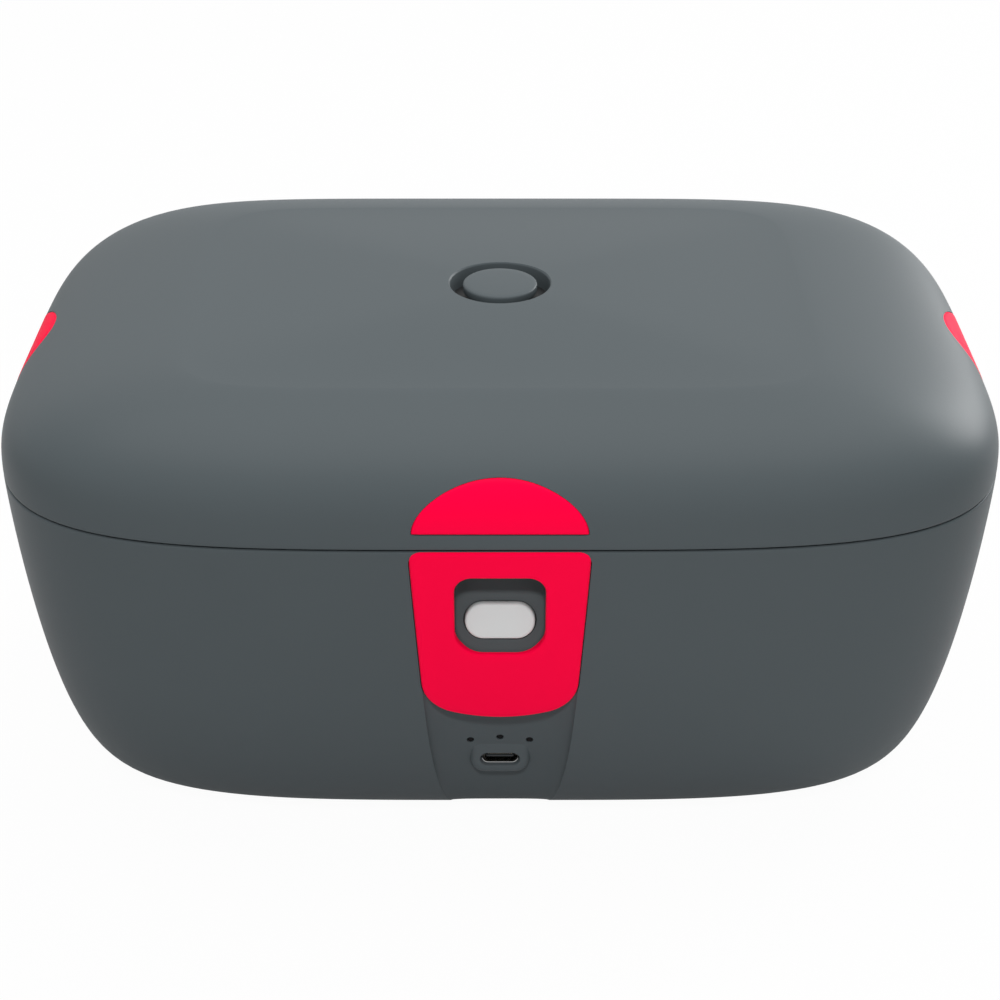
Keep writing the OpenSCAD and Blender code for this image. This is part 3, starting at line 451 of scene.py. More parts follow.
def finish(name, rgb, rough, group=GRAIN, scales=(), spread=0.06, drift=0.05, bump=0.1, depth=0.00004,
           **fixed):
    """A surface whose colour and roughness drift by spread and drift, with a fine bump."""
    material = bpy.data.materials.new(name)
    material.use_nodes = True
    nodes, links = material.node_tree.nodes, material.node_tree.links
    shader = nodes["Principled BSDF"]
    for label, value in fixed.items():
        shader.inputs[label.replace("_", " ")].default_value = value
    effect = nodes.new("ShaderNodeGroup")
    effect.node_tree = group
    for label, value in scales:
        effect.inputs[label].default_value = value
    colour = nodes.new("ShaderNodeMix")
    colour.data_type = "RGBA"
    base = linear(rgb)
    colour.inputs["A"].default_value = tuple(c * (1 - spread) for c in base[:3]) + (1.0,)
    colour.inputs["B"].default_value = tuple(min(1.0, c * (1 + spread)) for c in base[:3]) + (1.0,)
    links.new(effect.outputs["Tone"], colour.inputs["Factor"])
    links.new(colour.outputs["Result"], shader.inputs["Base Color"])
    gloss = nodes.new("ShaderNodeMapRange")
    gloss.inputs["To Min"].default_value = rough - drift
    gloss.inputs["To Max"].default_value = rough + drift
    links.new(effect.outputs["Tone"], gloss.inputs["Value"])
    links.new(gloss.outputs["Result"], shader.inputs["Roughness"])
    relief = nodes.new("ShaderNodeBump")
    relief.inputs["Strength"].default_value = bump
    relief.inputs["Distance"].default_value = depth
    links.new(effect.outputs["Height"], relief.inputs["Height"])
    links.new(relief.outputs["Normal"], shader.inputs["Normal"])
    return material


print("a full red is", linear((255, 0, 0))[:3], "in linear light")

# %% [markdown]
# ## The finishes of this box
# The greys, the red and the pale button were matched to the photo under the lamps below. The pieces inside
# take the usual finish of what they are made of: sheet metal, silicone, foil, foam and board laminate.

# %% Finishes
plastic = finish("satin grey plastic", (76, 83, 86), 0.45, bump=0.25, Specular_IOR_Level=0.12)
pocket_plastic = finish("pocket plastic", (76, 81, 83), 0.5, bump=0.2, Specular_IOR_Level=0.1)
dark_plastic = finish("dark inner plastic", (48, 52, 54), 0.5, bump=0.3)
black_plastic = finish("black plastic", (22, 23, 24), 0.4)
red_plastic = finish("red plastic", (255, 3, 63), 0.45, bump=0.08, spread=0.02, Specular_IOR_Level=0.03)
button_plastic = finish("button plastic", (203, 206, 206), 0.38, bump=0.08, spread=0.02)
smoked = finish("smoked light pipe", (14, 14, 16), 0.3, bump=0.0, Specular_IOR_Level=0.1)
rubber = finish("foot rubber", (34, 35, 37), 0.75, scales=[("Grain Scale", 900.0)], bump=0.4)
silicone = finish("seal silicone", (150, 156, 158), 0.55, bump=0.1)
steel = finish("brushed steel", (196, 198, 200), 0.3, BRUSH, bump=0.1, Metallic=1.0)
zinc = finish("zinc-plated steel", (178, 180, 182), 0.32, BRUSH, bump=0.06, Metallic=1.0)
bright = finish("bright port shell", (190, 190, 190), 0.18, BRUSH, bump=0.03, Metallic=1.0)
contact_plating = finish("plated contacts", (232, 226, 208), 0.22, BRUSH, bump=0.02, Metallic=1.0)
aluminium = finish("satin aluminium", (204, 207, 209), 0.38, BRUSH, bump=0.08, Metallic=1.0)
foil = finish("heater foil", (196, 128, 82), 0.35, GRAIN, bump=0.3, Metallic=0.8)
foam = finish("insulation foam", (222, 222, 214), 0.9, scales=[("Grain Scale", 420.0)], bump=0.8,
              depth=0.0003)
sleeve = finish("cell sleeve", (54, 104, 164), 0.3, bump=0.05)
laminate = finish("board laminate", (26, 88, 56), 0.35, bump=0.1)
ceramic = finish("glazed cut-out case", (222, 220, 210), 0.2, bump=0.03)
print(len(bpy.data.materials), "finishes")

# %% [markdown]
# ## Rings round the whole box
# A ring round the housing runs along the front, the right side, the back and the left side. Its points
# crowd towards the middle of each side, where the channels and plates are, and spread out towards the
# plain corners. Every ring has its points at the same shares of each side.

# %% Rings of the outer surface
def shares(count):
    half = [0.35 * t + 0.65 * t**2.2 for t in (i / count for i in range(count + 1))]
    return [-s for s in reversed(half[1:])] + half[:-1]


ALONG, ACROSS = shares(64), shares(52)


def box_ring(a, b, n, z):
    c = 0.5 ** (1 / n)

    def out(share):
        return (1 - abs(c * share) ** n) ** (1 / n)

    ring = [(a * c * s, -b * out(s), z) for s in ALONG]
    ring += [(a * out(s), b * c * s, z) for s in ACROSS]
    ring += [(-a * c * s, b * out(s), z) for s in ALONG]
    ring += [(-a * out(s), -b * c * s, z) for s in ACROSS]
    return ring


def level_ring(z, inset=0.0, at=None):
    a, b, n = level(z if at is None else at)
    return box_ring(a - inset, b - inset, n, z)


def body_ring(u, inset=0.0, height=BODY_H):
    """Ring of the housing at the section angle u: 0 at the rim, 90 at the underside."""
    a, b, n = body_level(1 - math.cos(math.radians(u)) ** (2 / BODY_BELLY))
    z = RIM - height * math.sin(math.radians(u)) ** (2 / BODY_DROP)
    return box_ring(a - inset, b - inset, n, z)


def lid_ring(u, inset=0.0, height=LID_H):
    """Ring of the lid at the section angle u: 0 at the rim, 90 at the shoulder."""
    a, b, n = lid_level(1 - math.cos(math.radians(u)) ** (2 / LID_ROLL))
    z = RIM + height * math.sin(math.radians(u)) ** (2 / LID_RISE)
    return box_ring(a - inset, b - inset, n, z)


print(len(level_ring(RIM)), "points in a ring")

# %% [markdown]
# ## The housing
# The real housing is one deep moulding, open at the top, with a ledge inside the rim that carries the
# deck. Its wall runs in more and more towards the underside. One loft makes the outside, the rolled rim,
# the ledge and the inside. The wall is thick enough for the channels that are cut into it afterwards.

# %% Housing skin
LEDGE = RIM - 5.9
RIM_T, WALL_T, FLOOR_T = 3.0, 5.2, 4.6
rim_roll = [(0.25, 0.03), (0.1, 0.12), (0.02, 0.28), (0.0, 0.5), (0.0, RIM_T - 0.5), (0.03, RIM_T - 0.25),
            (0.12, RIM_T - 0.1), (0.3, RIM_T)]
wall = [body_ring(90 - i) for i in range(86)]
wall += [level_ring(BODY_TOP - d) for d in (1.0, 0.45)]
wall += [level_ring(BODY_TOP - d, inset, BODY_TOP) for d, inset in rim_roll]
wall += [level_ring(LEDGE, RIM_T), level_ring(LEDGE, WALL_T)]
wall += [body_ring(u, WALL_T, BODY_H - FLOOR_T) for u in (24, 32, 40, 48, 56, 64, 71, 78, 84, 90)]
housing = make_mesh("housing", loft(wall, (0, 0, FOOT_H), (0, 0, FOOT_H + FLOOR_T)))
print(len(wall), "rings in the housing")

# %% [markdown]
# ## The channels below the plates
# Below the front plate and below each clip a shallow channel runs down to the underside. Its two edges
# are crisp, its walls turn into the floor in a hollow curve, and it is deepest half way down, because
# its floor is straighter than the bulging wall. A closed cutter with that floor leaves clean edges.

# %% Channels
CHANNEL_TOP, CHANNEL_LOW, CHANNEL_DEEP = 34.0, 88.5, 4.2


def channel_half(d):
    """Half the channel's width at a distance below the rim."""
    return 18.1 - 0.06 * (d - 40) - 2.9 * ((d - 40) / 46) ** 3


def channel_depth(u, z):
    """How deep the channel's floor is below the outer surface, at an offset u from its middle."""
    d = RIM - z
    s = abs(u) / channel_half(d)
    if s >= 1 or not CHANNEL_TOP < d < CHANNEL_LOW:
        return 0.0
    along = 2 * (d - CHANNEL_TOP) / (CHANNEL_LOW - CHANNEL_TOP) - 1
    return CHANNEL_DEEP * (1 - abs(along) ** 2.6) * (1 - s**4) ** 0.65


def channel(short_side):
    """Closed cutter for one channel."""
    across = [-1.0, -0.985, -0.96, -0.93, -0.89, -0.84, -0.78, -0.7, -0.6, -0.48, -0.34, -0.17]
    across += [0.0] + [-s for s in reversed(across)]
    far = -HALF_W - 10 if short_side else -HALF_D - 10
    rings = []
    for i in range(55):
        z = RIM - CHANNEL_TOP - 0.3 - i
        half = channel_half(RIM - z)
        ring = [(s * half, -reach(short_side, s * half, z) + channel_depth(s * half, z), z) for s in across]
        side, edge = half + 0.5, -reach(short_side, half, z) - 1.0
        ring += [(side, edge, z), (side, far, z), (-side, far, z), (-side, edge, z)]
        rings.append(ring)
    return loft(rings, (0, far, rings[0][0][2]), (0, far, rings[-1][0][2]))


print("a channel is", 2 * round(channel_half(RIM - PLATE_LOW), 1), "mm wide below the plate")

# %% [markdown]
# ## Openings in the housing
# On the real moulding these are shut-offs in the tool: the bed of the front plate, the window of the
# button pocket, the beds and finger scoops of the side clips, the hinge's bed and the recess of the base
# cover. Each is one closed cutter. Behind the port and the scoops, bosses keep the wall thick enough.

# %% Housing cutters
PLATE_MID = (0.0, RIM - 18.05)
CLIP_MID = (0.0, RIM - 20.0)
PORT_Z = FOOT_H + 23.8
RECESS_Y = -reach(False, 0, PORT_Z) + 3.8
PIVOT_Z = PLATE_LOW + 3
PIVOT_Y = -reach(True, 0, PIVOT_Z) + 4.2
SCOOP_HALF, SCOOP_R = 17.4, 5.8
LEAF_Y = HALF_D - 1.7


def rounded(cx, cy, r, steps=16):
    """Rectangle with round corners: cx and cy are the corners' centres."""
    ring = []
    for sx, sy, start in ((1, -1, -90), (1, 1, 0), (-1, 1, 90), (-1, -1, 180)):
        ring += arc((sx * cx, sy * cy), r, start, start + 90, steps)
    return ring


def clip_bed():
    return recess(plate_outline(CLIP_TOP, 0.3), CLIP_MID, True, 1.7)


def tools(parts):
    """Mesh objects for carve, which throws them away again."""
    return [make_mesh(f"tool_{i}", part) for i, part in enumerate(parts)]


cutters = [
    channel(False),
    recess(plate_outline(RIM - 1.3, 0.2), PLATE_MID, False, 1.6),
    along_y(window_outline(1.1), -100, -66),
    block(-26.1, 26.1, LEAF_Y, 110, RIM - 13.0, 140),
    along_z(rounded(70, 26, 18), -5, FOOT_H + 2),
]
boss_x, boss_z = 10.35, 6.55
boss = [(RECESS_Y + 1.2, PORT_Z - boss_z), (RECESS_Y + 0.12, PORT_Z - 3.8),
        (RECESS_Y + 0.12, PORT_Z + boss_z), (RECESS_Y + 4.4, PORT_Z + boss_z),
        (RECESS_Y + 4.4, PORT_Z - boss_z)]
bosses = [loft([[(x, y, z) for y, z in boss] for x in (-boss_x, boss_x)],
               (-boss_x, RECESS_Y + 2.5, PORT_Z), (boss_x, RECESS_Y + 2.5, PORT_Z))]
backing = SCOOP_R + 1.8
for side in (-90, 90):
    cutters += [turned(channel(True), side), turned(clip_bed(), side),
                turned(rod_x(-SCOOP_HALF, SCOOP_HALF, PIVOT_Y, PIVOT_Z, SCOOP_R), side)]
    bosses.append(turned(block(-SCOOP_HALF - 1.6, SCOOP_HALF + 1.6, PIVOT_Y - 2.2, PIVOT_Y + backing,
                               PIVOT_Z - backing, PIVOT_Z + backing), side))
carve(housing, tools(cutters), tools(bosses))
print("cut with", len(cutters), "cutters")

# %% [markdown]
# ## The pad round the port
# The channel's floor leans in, but a plug needs an upright face. So a pad grows out of the floor: flush
# above the port and proud below it, with a well rounded lower edge. It is united with the housing, and
# the port's mouth and the three light holes are cut through both.

# %% Port pad
PAD_Y = RECESS_Y - 1.2
PAD_R, PAD_ROLL = 3.7, 2.0
LIGHTS = [(-7.1, PORT_Z + 6.4), (0.0, PORT_Z + 7.3), (7.1, PORT_Z + 6.4)]
turns = [math.radians(t) for t in range(0, 91, 10)]
roll = [(4.0, 0.1)] + [(PAD_ROLL * (1 - math.sin(t)), PAD_ROLL * (math.cos(t) - 1)) for t in turns]


def pad_outline(grow):
    return [(x, z + PORT_Z + 1.1) for x, z in rounded(3.65, 1.7, PAD_R + grow)]


pad = loft(sunk(pad_outline, roll, PAD_Y), (0, PAD_Y + 4.0, PORT_Z), (0, PAD_Y, PORT_Z))
flare = [(1.22, 0.0), (0.3, 0.0), (0.1, 0.08), (-0.1, 0.3), (-1.4, 1.6)]
mouth = sunk(partial(stadium, 9.5, 3.55, PORT_Z + 0.15), flare, PAD_Y)
cutters = [loft(mouth, (0, PAD_Y + 1.22, PORT_Z), (0, PAD_Y - 1.4, PORT_Z)),
           along_y(stadium(9.14, 3.46, PORT_Z), RECESS_Y - 0.1, -62)]
cutters += [along_y(arc(spot, 0.92, 0, 345, 23), -90, -69) for spot in LIGHTS]
carve(housing, tools(cutters), tools([pad]))
print("the pad's face stands", round(RECESS_Y - PAD_Y, 2), "mm before the port's shell")

# %% [markdown]
# ## The lugs behind each clip
# In each scoop two lugs stand out of the housing's wall and hold the clip's pin. They belong to the same
# moulding, so they are merged into the housing's mesh and not kept as pieces of their own.

# %% Clip lugs
lugs = []
for side in (-90, 90):
    for x in (-9.8, 9.8):
        lugs.append(turned(rod_x(x - 1.5, x + 1.5, PIVOT_Y, PIVOT_Z, 2.3), side))
        lugs.append(turned(block(x - 1.5, x + 1.5, PIVOT_Y, PIVOT_Y + 6.4, PIVOT_Z - 2, PIVOT_Z + 2), side))
piece(merged(housing, *tools(lugs)), "housing", plastic, "housing_plastic", "body_shell")

# %% [markdown]
# ## The lid
# The lid is a shallow dome with a straight lower wall and a tight roll over its shoulder. The eye reads
# its form there, so most rings are in the roll. Inside the shoulder the crown rises by two millimetres
# and starts flat, so no crease shows. The rim's edge is rolled as well.

# %% Lid skin
LID_T = 2.6
lid_edge = [(0.3, LID_T), (0.1, LID_T - 0.1), (0.0, LID_T - 0.3), (0.0, 0.5), (0.02, 0.28), (0.1, 0.12),
            (0.25, 0.03)]
dome = [lid_ring(u, LID_T, LID_H - LID_T) for u in (90, 84, 78, 71, 64, 56, 48, 40, 32, 24, 16, 8)]
dome += [level_ring(LID_LOW + d, inset, LID_LOW) for d, inset in lid_edge]
dome += [level_ring(RIM + h) for h in (0.9, 1.5, 2.2, 3.0, 3.8, 4.6, 5.4, 6.2, 7.0, 7.8, 8.6, 9.4)]
dome += [lid_ring(14 + 1.6 * i) for i in range(48)]
a, b, n = lid_level(1)
for s in (0.0, 0.012, 0.03, 0.055, 0.085, 0.12, 0.16, 0.21, 0.27, 0.34, 0.42, 0.5, 0.58, 0.66, 0.74, 0.8,
          0.86, 0.92, 0.97):
    dome.append(box_ring(a * (1 - s), b * (1 - s), n, RIM + LID_H + CROWN * (1 - (1 - s) ** 2) ** 1.5))
lid = make_mesh("lid", loft(dome, (0, 0, RIM + LID_H - LID_T), (0, 0, LID_TOP)))
print(len(dome), "rings in the lid")

# %% [markdown]
# ## Openings in the lid
# The lid has a round opening for the steam vent, shallow beds for the half-moon inlays, the upper ends of
# the clip beds, and a bed for its hinge leaf. The vent's opening has a small round at its top.

# %% Lid cutters
MOON_MID = (0.0, RIM + 8.6)


def disc_rings(profile, steps=96):
    """Rings of a lathe along Z from pairs of radius and height."""
    return [[(r * math.cos(2 * math.pi * i / steps), r * math.sin(2 * math.pi * i / steps), z)
             for i in range(steps)] for r, z in profile]


def moon_bed(short_side):
    return recess(half_moon(0.1), MOON_MID, short_side, 1.25)


vent_mouth = disc_rings([(12.5, 105.0), (12.5, 118.6), (12.6, 118.85), (12.85, 119.05), (14.5, 120.6)])
cutters = [loft(vent_mouth, (0, 0, 105), (0, 0, 120.6)), moon_bed(False),
           block(-13.9, 13.9, LEAF_Y, 110, RIM - 5, RIM + 7.3)]
for side in (-90, 90):
    cutters += [turned(clip_bed(), side), turned(moon_bed(True), side)]
piece(carve(lid, tools(cutters)), "lid", plastic, "lid_plastic", "lid_shell")

# %% [markdown]
# ## Front plate, clips and inlays
# All the red pieces are thin mouldings that follow the box's surface. The plate has a window for the
# button pocket. Each clip is a plate with a barrel and a web merged into its back, and turns on a steel
# pin. The inlays lie almost flush with the lid.

# %% Red pieces
PROUD, PLATE_BACK, CLIP_BACK, INLAY_PROUD, INLAY_BACK = 0.4, 1.6, 1.4, 0.1, 1.2
front_outline, front_bed = partial(plate_outline, PLATE_TOP), partial(plate_outline, RIM - 1.3)
clip_outline = partial(plate_outline, CLIP_TOP)
front = plate(front_outline, PLATE_MID, False, PROUD, PLATE_BACK, window_outline, front_bed)
piece(make_mesh("front_plate", front), "housing", red_plastic, "red_plastic", "front_plate")

for name, side in (("left_clip", -90), ("right_clip", 90)):
    face = make_mesh(name, turned(plate(clip_outline, CLIP_MID, True, PROUD, CLIP_BACK), side))
    barrel = [turned(rod_x(-8, 8, PIVOT_Y, PIVOT_Z, 2.0), side),
              turned(block(-8, 8, PIVOT_Y - 3.3, PIVOT_Y, PIVOT_Z - 1.6, PIVOT_Z + 1.6), side)]
    piece(merged(face, *tools(barrel)), name, red_plastic, "red_plastic", name)

for name, side in (("front_inlay", 0), ("left_inlay", -90), ("right_inlay", 90)):
    inlay = turned(plate(half_moon, MOON_MID, side != 0, INLAY_PROUD, INLAY_BACK), side)
    piece(make_mesh(name, inlay), "lid", red_plastic, "red_plastic", name)

# %% [markdown]
# ## The button pocket
# Behind the plate's window is a pocket whose floor leans back by 14 degrees, so the button faces up to
# the user. Its wall runs straight in from the window and turns into the floor through a small fillet.
# The whole pocket is one closed loft on the same spokes: lip, wall, fillet, floor, and the button's hole.

# %% Button pocket
PILL_Y, PILL_Z = -reach(False, 0, RIM - 21.9) + 3.3, RIM - 21.9
LEAN = math.radians(14)


def leaning(x, y, z):
    """A point given on the button's leaning face, in the box's own directions."""
    c, s = math.cos(LEAN), math.sin(LEAN)
    return x, PILL_Y + y * c + z * s, PILL_Z - y * s + z * c


def floor_y(z, depth):
    """Where the leaning floor at a depth behind the button's face is, at a height."""
    return PILL_Y + (depth + (z - PILL_Z) * math.sin(LEAN)) / math.cos(LEAN)


def on_floor(ring, depth):
    return [(x, floor_y(z, depth), z) for x, z in ring]


def pill_hole(depth, grow=0.0):
    return spokes([leaning(x, depth, z)[::2] for x, z in stadium(16.7, 9.1, 0, grow)], POCKET_MID)


def pocket_outline(grow):
    return spokes(window_outline(grow), POCKET_MID)


POCKET_MID = (0.0, PILL_Z - 0.3)
FLOOR_FRONT, FLOOR_BACK, PLATE_SEAT = 1.2, 2.8, -PLATE_BACK - 0.02
rings = [on_floor(pocket_outline(1.0), FLOOR_BACK), on_surface(pocket_outline(1.0), False, PLATE_SEAT),
         on_surface(pocket_outline(0.0), False, PLATE_SEAT)]
rings += [[(x, y + (floor_y(z, 0.2) - y) * share, z) for x, y, z in rings[2]] for share in (0.35, 0.7)]
for inset, rise in ((0.0, 1.0), (0.13, 0.5), (0.5, 0.13), (1.0, 0.0)):
    rings.append(on_floor(pocket_outline(-inset), FLOOR_FRONT - rise))
edge, hole = pocket_outline(-1.0), pill_hole(FLOOR_FRONT, 0.15)
rings += [on_floor(between(edge, hole, share), FLOOR_FRONT) for share in (0.3, 0.6, 0.85, 1.0)]
for depth, grow in ((1.24, 0.04), (1.35, 0.0), (FLOOR_BACK, 0.0)):
    rings.append(on_floor(pill_hole(depth, grow), depth))
rings.append(rings[0])
pocket = make_mesh("button_pocket", loft(rings))
piece(pocket, "housing", pocket_plastic, "pocket_plastic", "button_pocket")

# %% [markdown]
# ## The button
# The button is a pill with a soft edge and a face that is a touch hollow, so that a finger finds it. A
# flange behind the floor keeps it in, and a stem reaches back to the switch; both are black as painted
# shade, so that the gap round the face looks dark. It is one lathe-like loft of stadium outlines, leaned
# with the floor.

# %% Power button
profile = [(5.4, -3.9), (4.1, -3.8), (4.1, 0.85), (4.0, 0.9), (3.15, 0.9), (3.1, 0.8), (3.1, 0.0),
           (0.7, 0.0), (0.36, -0.06), (0.12, -0.22), (0.02, -0.5), (0.0, -0.85), (0.05, -1.8), (0.1, -3.0)]
pill = [[leaning(x, y, z) for x, z in stadium(16.1, 8.5, 0, grow)] for y, grow in profile]
button = make_mesh("power_button", loft(pill, leaning(0, 5.4, 0), leaning(0, 0.11, 0)), sharp=50)
piece(button, "power_button", button_plastic, "button_plastic", "power_button")
# The flange and stem faces take black plastic as painted shade for the gap round the button's face.
button.data.materials.append(black_plastic)
for face in button.data.polygons[:6 * len(pill[0])]:
    face.material_index = 1

# %% [markdown]
# ## The charge port
# The port is a drawn metal shell with a thin tongue in it, flush with the bottom of the pad's mouth. Seen
# from above, its two round ends catch the light beside a dark middle, so the shell has a real wall with a
# rounded lip, and the tongue has its two rows of contacts.

# %% Port shell and tongue
drawn = [(8.8, -1.2), (8.8, -0.15), (8.65, 0.0), (0.2, 0.0), (0.06, -0.04), (0.0, -0.12), (0.06, -0.2),
         (0.4, -0.28), (0.8, -0.3), (7.8, -0.3), (7.8, -1.2)]
shell = loft(sunk(partial(stadium, 8.94, 3.26, PORT_Z), drawn, RECESS_Y),
             (0, RECESS_Y + 8.8, PORT_Z), (0, RECESS_Y + 7.8, PORT_Z))
piece(make_mesh("port_shell", shell), "housing", bright, "port_steel", "usb_port")


def bar(w, h, profile, tip, x=0.0, z=0.0):
    """A flat bar along Y with small round edges, whose front end closes at the depth tip."""
    r = 0.12

    def outline(grow):
        return [(a + x, b + PORT_Z + z) for a, b in rounded(w / 2 + grow - r, h / 2 + grow - r, r, 4)]

    return loft(sunk(outline, profile, RECESS_Y), (x, RECESS_Y + profile[0][0], PORT_Z + z),
                (x, RECESS_Y + tip, PORT_Z + z))


tongue = bar(6.7, 0.7, [(7.8, 0), (0.95, 0), (0.72, -0.05), (0.6, -0.16)], 0.58)
piece(make_mesh("port_tongue", tongue), "housing", dark_plastic, "inner_plastic", "usb_tongue")
contacts = [bar(0.28, 0.26, [(6.5, 0), (1.14, 0), (1.0, -0.03)], 0.98, -2.75 + 0.5 * i, z)
            for i in range(12) for z in (-0.36, 0.36)]
piece(make_mesh("port_contacts", joined(*contacts)), "housing", contact_plating, "port_steel")

# %% [markdown]
# ## The three lights
# Above the port three small light pipes come out in a shallow arc. Unlit, they look almost black. Each is
# a short pin with a domed end, sunk a little below the channel's floor.

# %% Light pipes
PIPE_R, PIPE_BACK = 0.86, RECESS_Y + 2.9
pipes = []
for spot in LIGHTS:
    front = -reach(False, *spot) + channel_depth(*spot) + 0.3
    tip = [(PIPE_BACK - front, 0.0), (0.35, 0.0), (0.14, -0.1), (0.02, -0.4)]
    rings = sunk(lambda grow: arc(spot, PIPE_R + grow, 0, 348.75, 31), tip, front)
    pipes.append(loft(rings, (spot[0], PIPE_BACK, spot[1]), (spot[0], front, spot[1])))
piece(make_mesh("light_pipes", joined(*pipes)), "housing", smoked, "light_plastic", "light_pipes")

# %% [markdown]
# ## The steam vent
# The vent is a round button in the middle of the lid, with a dark ring-shaped gap round it. Down in the
# gap a collar with eight small holes lets the steam through. Both are lathes; the button's edge is
# rounded and its top is very slightly crowned, like the lid round it.

# %% Vent collar and button
tube = [(3.0, 92.75), (8.2, 92.75), (8.4, 92.95), (8.4, 111.6), (8.8, 112.0), (15.7, 112.0), (16.0, 112.3),
        (16.0, 114.1), (15.7, 114.4), (6.5, 114.4), (6.1, 114.1), (6.03, 113.5), (6.03, 94.35), (3.0, 94.35),
        (3.0, 92.75)]
holes = [along_z(arc(spot, 1.1, 0, 345, 23), 108, 120) for spot in arc((0, 0), 10.45, 0, 315, 7)]
collar = carve(make_mesh("vent_collar", loft(disc_rings(tube))), tools(holes))
piece(collar, "lid", black_plastic, "inner_plastic", "vent_housing")

cap = disc_rings([(6.0, 106.8), (6.0, 116.4), (6.4, 116.8), (8.9, 116.8), (9.2, 116.95), (9.3, 117.3),
                  (9.3, 118.45), (9.22, 118.72), (9.0, 118.92), (8.6, 119.02), (7.5, 119.08), (5.5, 119.14),
                  (3.0, 119.18)])
vent = make_mesh("vent_button", loft(cap, (0, 0, 106.8), (0, 0, 119.2)))
piece(vent, "vent_button", plastic, "lid_plastic", "vent_button")

# %% [markdown]
# ## Dish and well
# Under the lid a lift-out dish hangs by its flange on a heated well, and the well hangs on the deck that
# closes the housing. Both are drawn from sheet, so their corners and lower edges are round, and the
# flanges end in a small roll. Their rings are rounded rectangles that share the centres of their corners.

# %% Dish and well
CORNER = (62, 28)


def tray_rings(profile):
    return [[(x, y, z) for x, y in rounded(*CORNER, r)] for r, z in profile]


def drawn_tray(r, t, low, top, flange, flange_t):
    """Closed loft of a drawn tray: floor, fillet, leaning wall, flange with a rolled edge, inside."""
    foot, rim = r - 11, r + flange
    seat = top - flange_t
    outside = [(foot * s, low) for s in (0.3, 0.6, 0.85)] + arc((foot, low + 8), 8, -90, 0, 10)
    edge = [(r - 0.25, seat - 0.9), (r + 0.1, seat - 0.3), (r + 0.8, seat)]
    roll = [(rim - 0.2, seat), (rim, seat + 0.3 * flange_t), (rim, top - 0.3 * flange_t), (rim - 0.2, top)]
    lip = [(r + 0.7, top), (r - t + 0.45, top - 0.12), (r - t + 0.1, top - 0.5), (r - t, top - 1.1)]
    inside = arc((foot, low + 8), 8 - t, 0, -90, 10) + [(foot * s, low + t) for s in (0.85, 0.6, 0.3)]
    return loft(tray_rings(outside + edge + roll + lip + inside), (0, 0, low), (0, 0, low + t))


dish = make_mesh("food_dish", drawn_tray(32.4, 0.8, 32.7, 90.2, 5.0, 0.8), sharp=60)
piece(dish, "housing", steel, "dish_steel", "food_dish")
well = make_mesh("heating_well", drawn_tray(34.3, 1.2, 31.5, 89.4, 7.0, 1.0), sharp=60)
piece(well, "housing", aluminium, "well_aluminium", "heating_well")

# %% [markdown]
# ## The deck
# The deck is a flat ring that rests on the housing's ledge and closes the gap round the well. Its outline
# follows the box and its hole follows the well, so both are taken on the same spokes and joined.

# %% Deck round the well
def outline_at(z, inset):
    """The box's outline at a height, drawn in by a distance, on even spokes."""
    a, b, n = level(z)
    return spokes([(x, y) for x, y, _ in box_ring(a - inset, b - inset, n, z)], (0.0, 0.0))


DECK_T, DECK_INSET = 1.8, 3.1
inner = spokes(rounded(*CORNER, 35.3), (0.0, 0.0))
deck = [[(x, y, LEDGE) for x, y in inner]]
deck += [[(x, y, LEDGE + z) for x, y in outline_at(LEDGE, DECK_INSET + inset)] for z, inset in
         ((0.0, 0.0), (DECK_T - 0.3, 0.0), (DECK_T - 0.08, 0.1), (DECK_T, 0.3))]
for share in (0.25, 0.5, 0.75, 0.97):
    deck.append([(x, y, LEDGE + DECK_T) for x, y in between(deck[4], inner, share)])
deck += [[(x, y, LEDGE + DECK_T - 0.2) for x, y in inner], deck[0]]
piece(make_mesh("top_deck", loft(deck)), "housing", dark_plastic, "inner_plastic", "top_deck")

# %% [markdown]
# ## Seal and liner
# The liner closes the lid from below. A raised step in it centres a silicone seal, which presses on the
# dish's lip, and five slots let steam through to the vent. The seal is drawn with two soft lips, the
# liner with small fillets round its step.

# %% Seal and liner
SEATS = [(x, y) for x in (-89, 89) for y in (-55, 55)]
seal = tray_rings([(31.05, 93.5), (31.0, 91.2), (31.15, 90.75), (31.6, 90.5), (32.1, 90.62), (32.6, 91.05),
                   (33.4, 91.05), (33.9, 90.62), (34.4, 90.5), (34.85, 90.75), (35.0, 91.2), (34.95, 93.5),
                   (31.05, 93.5)])
piece(make_mesh("lid_seal", loft(seal)), "lid", silicone, "seal_silicone", "lid_seal")


def step_ring(r, z):
    return [(x, y, z) for x, y in spokes(rounded(*CORNER, r), (0.0, 0.0))]


def liner_ring(inset, z):
    return [(x, y, z) for x, y in outline_at(LID_LOW + 0.6, 2.7 + inset)]


liner = [step_ring(15, 92.75), step_ring(29.0, 92.75), step_ring(29.2, 92.95), step_ring(29.2, 95.15),
         step_ring(29.4, 95.35), liner_ring(0.3, 95.35), liner_ring(0.0, 95.05), liner_ring(0.0, 93.85),
         liner_ring(0.1, 93.62), liner_ring(0.35, 93.55), liner_ring(6.0, 93.55), step_ring(31.4, 93.55),
         step_ring(31.05, 93.4), step_ring(30.98, 93.1), step_ring(30.98, 91.7), step_ring(30.8, 91.2),
         step_ring(30.2, 90.95), step_ring(24, 90.95), step_ring(15, 90.95)]
slots = [along_z([(y + 5 * i, x) for x, y in stadium(14 - 2 * abs(i), 2)], 88, 96) for i in range(-2, 3)]
seat = disc_rings([(2.5, 92), (2.5, 94.35), (1.3, 94.36), (1.3, 97)], 40)
seats = [loft([[(x + sx, y + sy, z) for x, y, z in ring] for ring in seat], (sx, sy, 92), (sx, sy, 97))
         for sx, sy in SEATS]
liner = carve(make_mesh("lid_liner", loft(liner, (0, 0, 92.75), (0, 0, 90.95))), tools(slots + seats))
